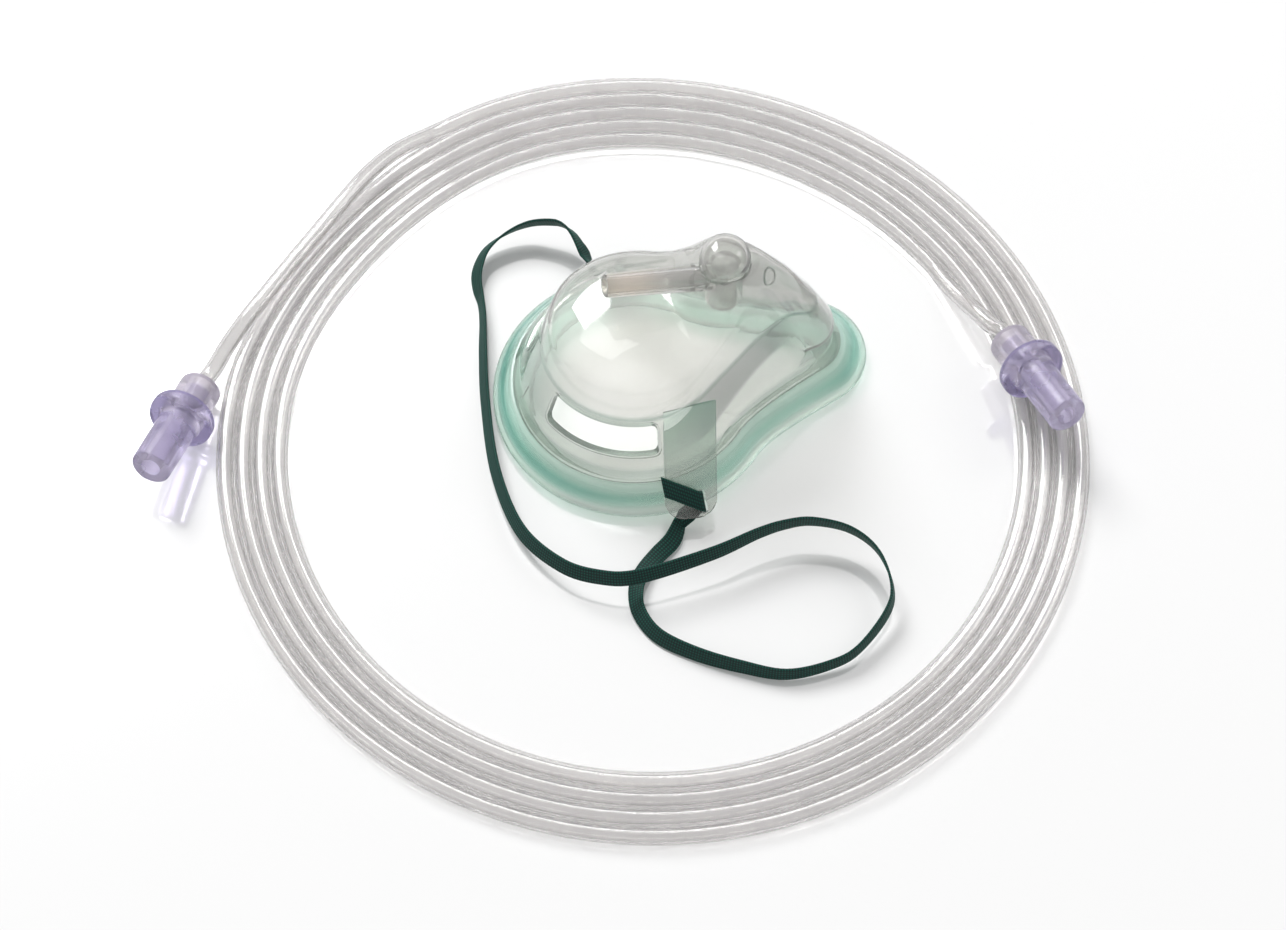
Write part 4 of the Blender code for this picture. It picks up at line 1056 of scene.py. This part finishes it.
def turretProfiles():
    # outside and inside of the collar and the dome on it
    wall, base = shell["wall"], turret["collarHeight"]
    low, high = turret["domeFoot"]
    collar, dome = turret["collarRadius"], turret["radius"]
    outer = [(0, base), (collar, base), (collar, low), (dome, high)]
    outer += roundedCap(dome, turret["top"], turret["rounding"])
    collar, dome, base = collar - wall, dome - wall, base - 2 * wall
    inner = [(0, base), (collar, base), (collar, low), (dome, high)]
    inner += roundedCap(dome, turret["top"] - wall, turret["rounding"] - wall)
    return outer, inner


def evenTone(*marks):
    return lambda where: marks


def gateStep(body):
    # the gate's ring stands on the wall between the turret and the nose
    bpy.context.view_layer.update()
    above = Vector((*turret["gateAt"], 2 * turret["top"]))
    at, normal = body.ray_cast(above, Vector((0, 0, -1)))[1:3]
    place = Matrix.Translation(at) @ normal.to_track_quat("Z", "Y").to_matrix().to_4x4()
    rise, root, wide = turret["gateRise"], turret["gateRoot"], turret["gateRadius"]
    profile = [
        (0, -root), (wide, -root), (wide, rise * 0.6), (wide - 0.2 * mm, rise), (wide - 0.4 * mm, rise),
        (wide - 0.6 * mm, rise * 0.2), (wide - 0.8 * mm, rise * 0.2), (0, rise * 0.2),
    ]

    # painted shade: a dark line round the ring's edge
    def ringTone(where):
        away = (place.inverted() @ where).xy.length
        return (0, 0.6 if away > wide - 0.5 * mm else 0, 0, 0)

    return ("gate", "UNION", lambda bm: addTurned(bm, profile, place), ringTone)


def sideSteps(side, name):
    # a lug and its slot, and a port in its raised frame
    place, length = lugPlace(side)
    slotDepth = 4 * lug["thick"]

    def lugTone(where):
        down = (place.inverted() @ where).y / length
        return (0.3, 0, 0, 1 - smoothStep(down, 0.0, 0.6))

    return [
        (name + "Lug", "UNION", lambda bm: addPlate(bm, lugOutline(length), lug["thick"], place), lugTone),
        # the slot's and the frame's edges carry a painted shade line
        (name + "Slot", "DIFFERENCE", lambda bm: addPlate(bm, slotOutline(length), slotDepth, place),
         evenTone(0.6, 0.2, 0, 0)),
        (name + "Frame", "UNION", lambda bm: addPort(bm, side, port["rimWide"], port["rimProud"]),
         evenTone(0, 0.35, 0, 0)),
        (name + "Port", "DIFFERENCE", lambda bm: addPort(bm, side), evenTone(0, 0, 0, 0.5)),
    ]


def turretSteps():
    # collar and dome, the spigot out of them, then the hollow of each
    at = Matrix.Translation((turret["x"], 0, 0))
    outer, inner = turretProfiles()
    low, high = turret["domeFoot"]
    direction = Vector((-cos(turret["spigotTilt"]), 0, sin(turret["spigotTilt"])))
    along = Matrix.Translation((turret["x"], 0, turret["spigotRootHeight"]))
    along = along @ direction.to_track_quat("Z", "Y").to_matrix().to_4x4()
    long, root, tip, soft = (turret["spigot" + size] for size in ("Length", "Root", "Tip", "Soft"))
    slim = (tip - root) / long
    rings = np.linspace(0, long - soft, turret["spigotRings"]).tolist()
    spigot = [(0, 0), *[(root + slim * z, z) for z in rings], (tip - soft, long), (0, long)]
    boreEnd = long + turret["boreBeyond"]
    rings = np.linspace(0, boreEnd, turret["spigotRings"]).tolist()
    bore = [(0, 0), *[(turret["spigotBore"], z) for z in rings], (0, boreEnd)]

    # a painted shade line where the dome meets the collar
    def footTone(where):
        return (0, 0.4 if low - 0.1 * mm < where.z < high + 0.1 * mm else 0, 0, 0)

    # greyer at the root and warmer to the tip, with a painted shade line round the tip's end
    def spigotTone(where):
        share = (along.inverted() @ where).z / long
        warm = smoothStep(share, 0.45, 0.75)
        return (0.5 * (1 - warm), 0.25 if share > 0.97 else 0, warm, 0)

    return [
        ("turret", "UNION", lambda bm: addTurned(bm, outer, at), footTone),
        ("spigot", "UNION", lambda bm: addTurned(bm, spigot, along), spigotTone),
        ("well", "DIFFERENCE", lambda bm: addTurned(bm, inner, at), footTone),
        ("bore", "DIFFERENCE", lambda bm: addTurned(bm, bore, along), spigotTone),
    ]


def carved(body, steps):
    # one mesh of the body with each step's solid joined to it or cut from it
    helpers = []
    for name, operation, maker, tones in steps:
        helpers.append(helperObject(name, maker, tones))
        modifier = body.modifiers.new(name, "BOOLEAN")
        modifier.object = helpers[-1]
        modifier.operation = operation
        modifier.solver = "EXACT"
    bpy.context.view_layer.update()
    made = bpy.data.meshes.new_from_object(body.evaluated_get(bpy.context.evaluated_depsgraph_get()))
    for helper in [body, *helpers]:
        bpy.data.objects.remove(helper, do_unlink=True)
    return made


def makeShell():
    body = helperObject("maskShell", addShellWall)
    steps = [gateStep(body), ("mouldLine", "UNION", addMouldLine, evenTone(0, 0, 0, 0))]
    mesh = carved(body, steps + sideSteps(-1, "near") + sideSteps(1, "far") + turretSteps())
    mesh.name = "maskShell"
    mesh.materials.clear()
    mesh.shade_smooth()
    mesh.set_sharp_from_angle(angle=radians(34))
    made = objectFromMesh("maskShell", mesh, clearShell)
    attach(made, "root")
    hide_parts("mask_shell")
    print("shell made,", len(mesh.polygons), "faces")


makeShell()


# table, backdrop and lamps

def seenRays(tree):
    # 1 for what the camera sees, in gloss and through clear walls too
    path = tree.nodes.new("ShaderNodeLightPath")
    seen = path.outputs["Is Camera Ray"]
    for name in ("Is Glossy Ray", "Is Transmission Ray"):
        either = addNode(tree, "ShaderNodeMath", {0: seen, 1: path.outputs[name]}, operation="MAXIMUM")
        seen = either.outputs[0]
    return path, seen


def makeTable():
    table = {"half": 3.0, "reflection": 0.22, "blur": 0.10, "ownLight": 0.12, "colour": (0.97, 0.97, 0.97)}
    half = table["half"]
    mesh = bpy.data.meshes.new("table")
    corners = [(-half, -half, 0), (half, -half, 0), (half, half, 0), (-half, half, 0)]
    mesh.from_pydata(corners, [], [(0, 1, 2, 3)])
    made, tree = newMaterial("whiteTable")
    tree.nodes.remove(tree.nodes["Principled BSDF"])
    matt = addNode(tree, "ShaderNodeBsdfDiffuse", {"Color": (*table["colour"], 1)})
    gloss = addNode(tree, "ShaderNodeBsdfGlossy", {"Color": (1, 1, 1, 1), "Roughness": table["blur"]})
    glow = addNode(tree, "ShaderNodeEmission", {"Strength": 1.0})
    path, seen = seenRays(tree)
    ownLight = mapRange(tree, seen, 0.0, 1.0, 0.0, table["ownLight"])
    lit = addNode(tree, "ShaderNodeMixShader", {0: ownLight, 1: matt.outputs[0], 2: glow.outputs[0]})
    # the mirror share is for the eye alone, as it would show too bright through a clear wall
    mirrored = mapRange(tree, path.outputs["Is Camera Ray"], 0.0, 1.0, 0.0, table["reflection"])
    top = addNode(tree, "ShaderNodeMixShader", {0: mirrored, 1: lit.outputs[0], 2: gloss.outputs[0]})
    feed(tree, tree.nodes["Material Output"], {"Surface": top.outputs[0]})
    mesh.materials.append(made)
    floor = bpy.data.objects.new("table", mesh)
    scene.collection.objects.link(floor)


def makeLight():
    light = {"world": 0.40, "seen": 1.0, "horizon": 0.40, "clearAbove": 0.50, "colour": (1.0, 1.0, 1.0)}
    lamps = (
        {"name": "overhead", "at": (-0.72, 2.7, 2.88), "size": 1.6, "power": 128.0},
        {"name": "side", "at": (1.6, 0.1, 1.5), "size": 0.8, "power": 5.0},
        {"name": "tubeLines", "at": (0.35, 1.30, 2.34), "size": 0.60, "power": 13.6, "only": "supplyTube"},
        {"name": "softbox", "at": (-0.60, 0.84, 2.48), "size": 1.3, "power": 12.0, "only": "maskShell"},
    )
    world = bpy.data.worlds.new("studio")
    scene.world = world
    world.use_nodes = True
    tree = world.node_tree
    path, seen = seenRays(tree)
    # what gloss shows: the studio falls off to grey low down
    place = tree.nodes.new("ShaderNodeTexCoord").outputs["Generated"]
    height = addNode(tree, "ShaderNodeSeparateXYZ", {0: place}).outputs["Z"]
    walls = mapRange(tree, height, 0.0, light["clearAbove"], light["horizon"], light["seen"])
    shown = addNode(tree, "ShaderNodeMix", {0: path.outputs["Is Glossy Ray"], 2: light["seen"], 3: walls})
    strength = mapRange(tree, seen, 0.0, 1.0, light["world"], shown.outputs[0])
    feed(tree, tree.nodes["Background"], {"Color": (*light["colour"], 1), "Strength": strength})
    for lamp in lamps:
        data = bpy.data.lights.new(lamp["name"], "AREA")
        data.shape = "SQUARE"
        data.size = lamp["size"]
        data.energy = lamp["power"]
        made = bpy.data.objects.new(lamp["name"], data)
        scene.collection.objects.link(made)
        made.location = lamp["at"]
        made.rotation_mode = "QUATERNION"
        made.rotation_quaternion = (-Vector(lamp["at"])).to_track_quat("-Z", "Y")
        if "only" in lamp:
            # this lamp draws the bright lines or the pale patch on one piece
            lit = bpy.data.collections.new(lamp["name"] + "On")
            lit.objects.link(bpy.data.objects[lamp["only"]])
            made.light_linking.receiver_collection = lit


makeTable()
makeLight()
print("table and lamps made")
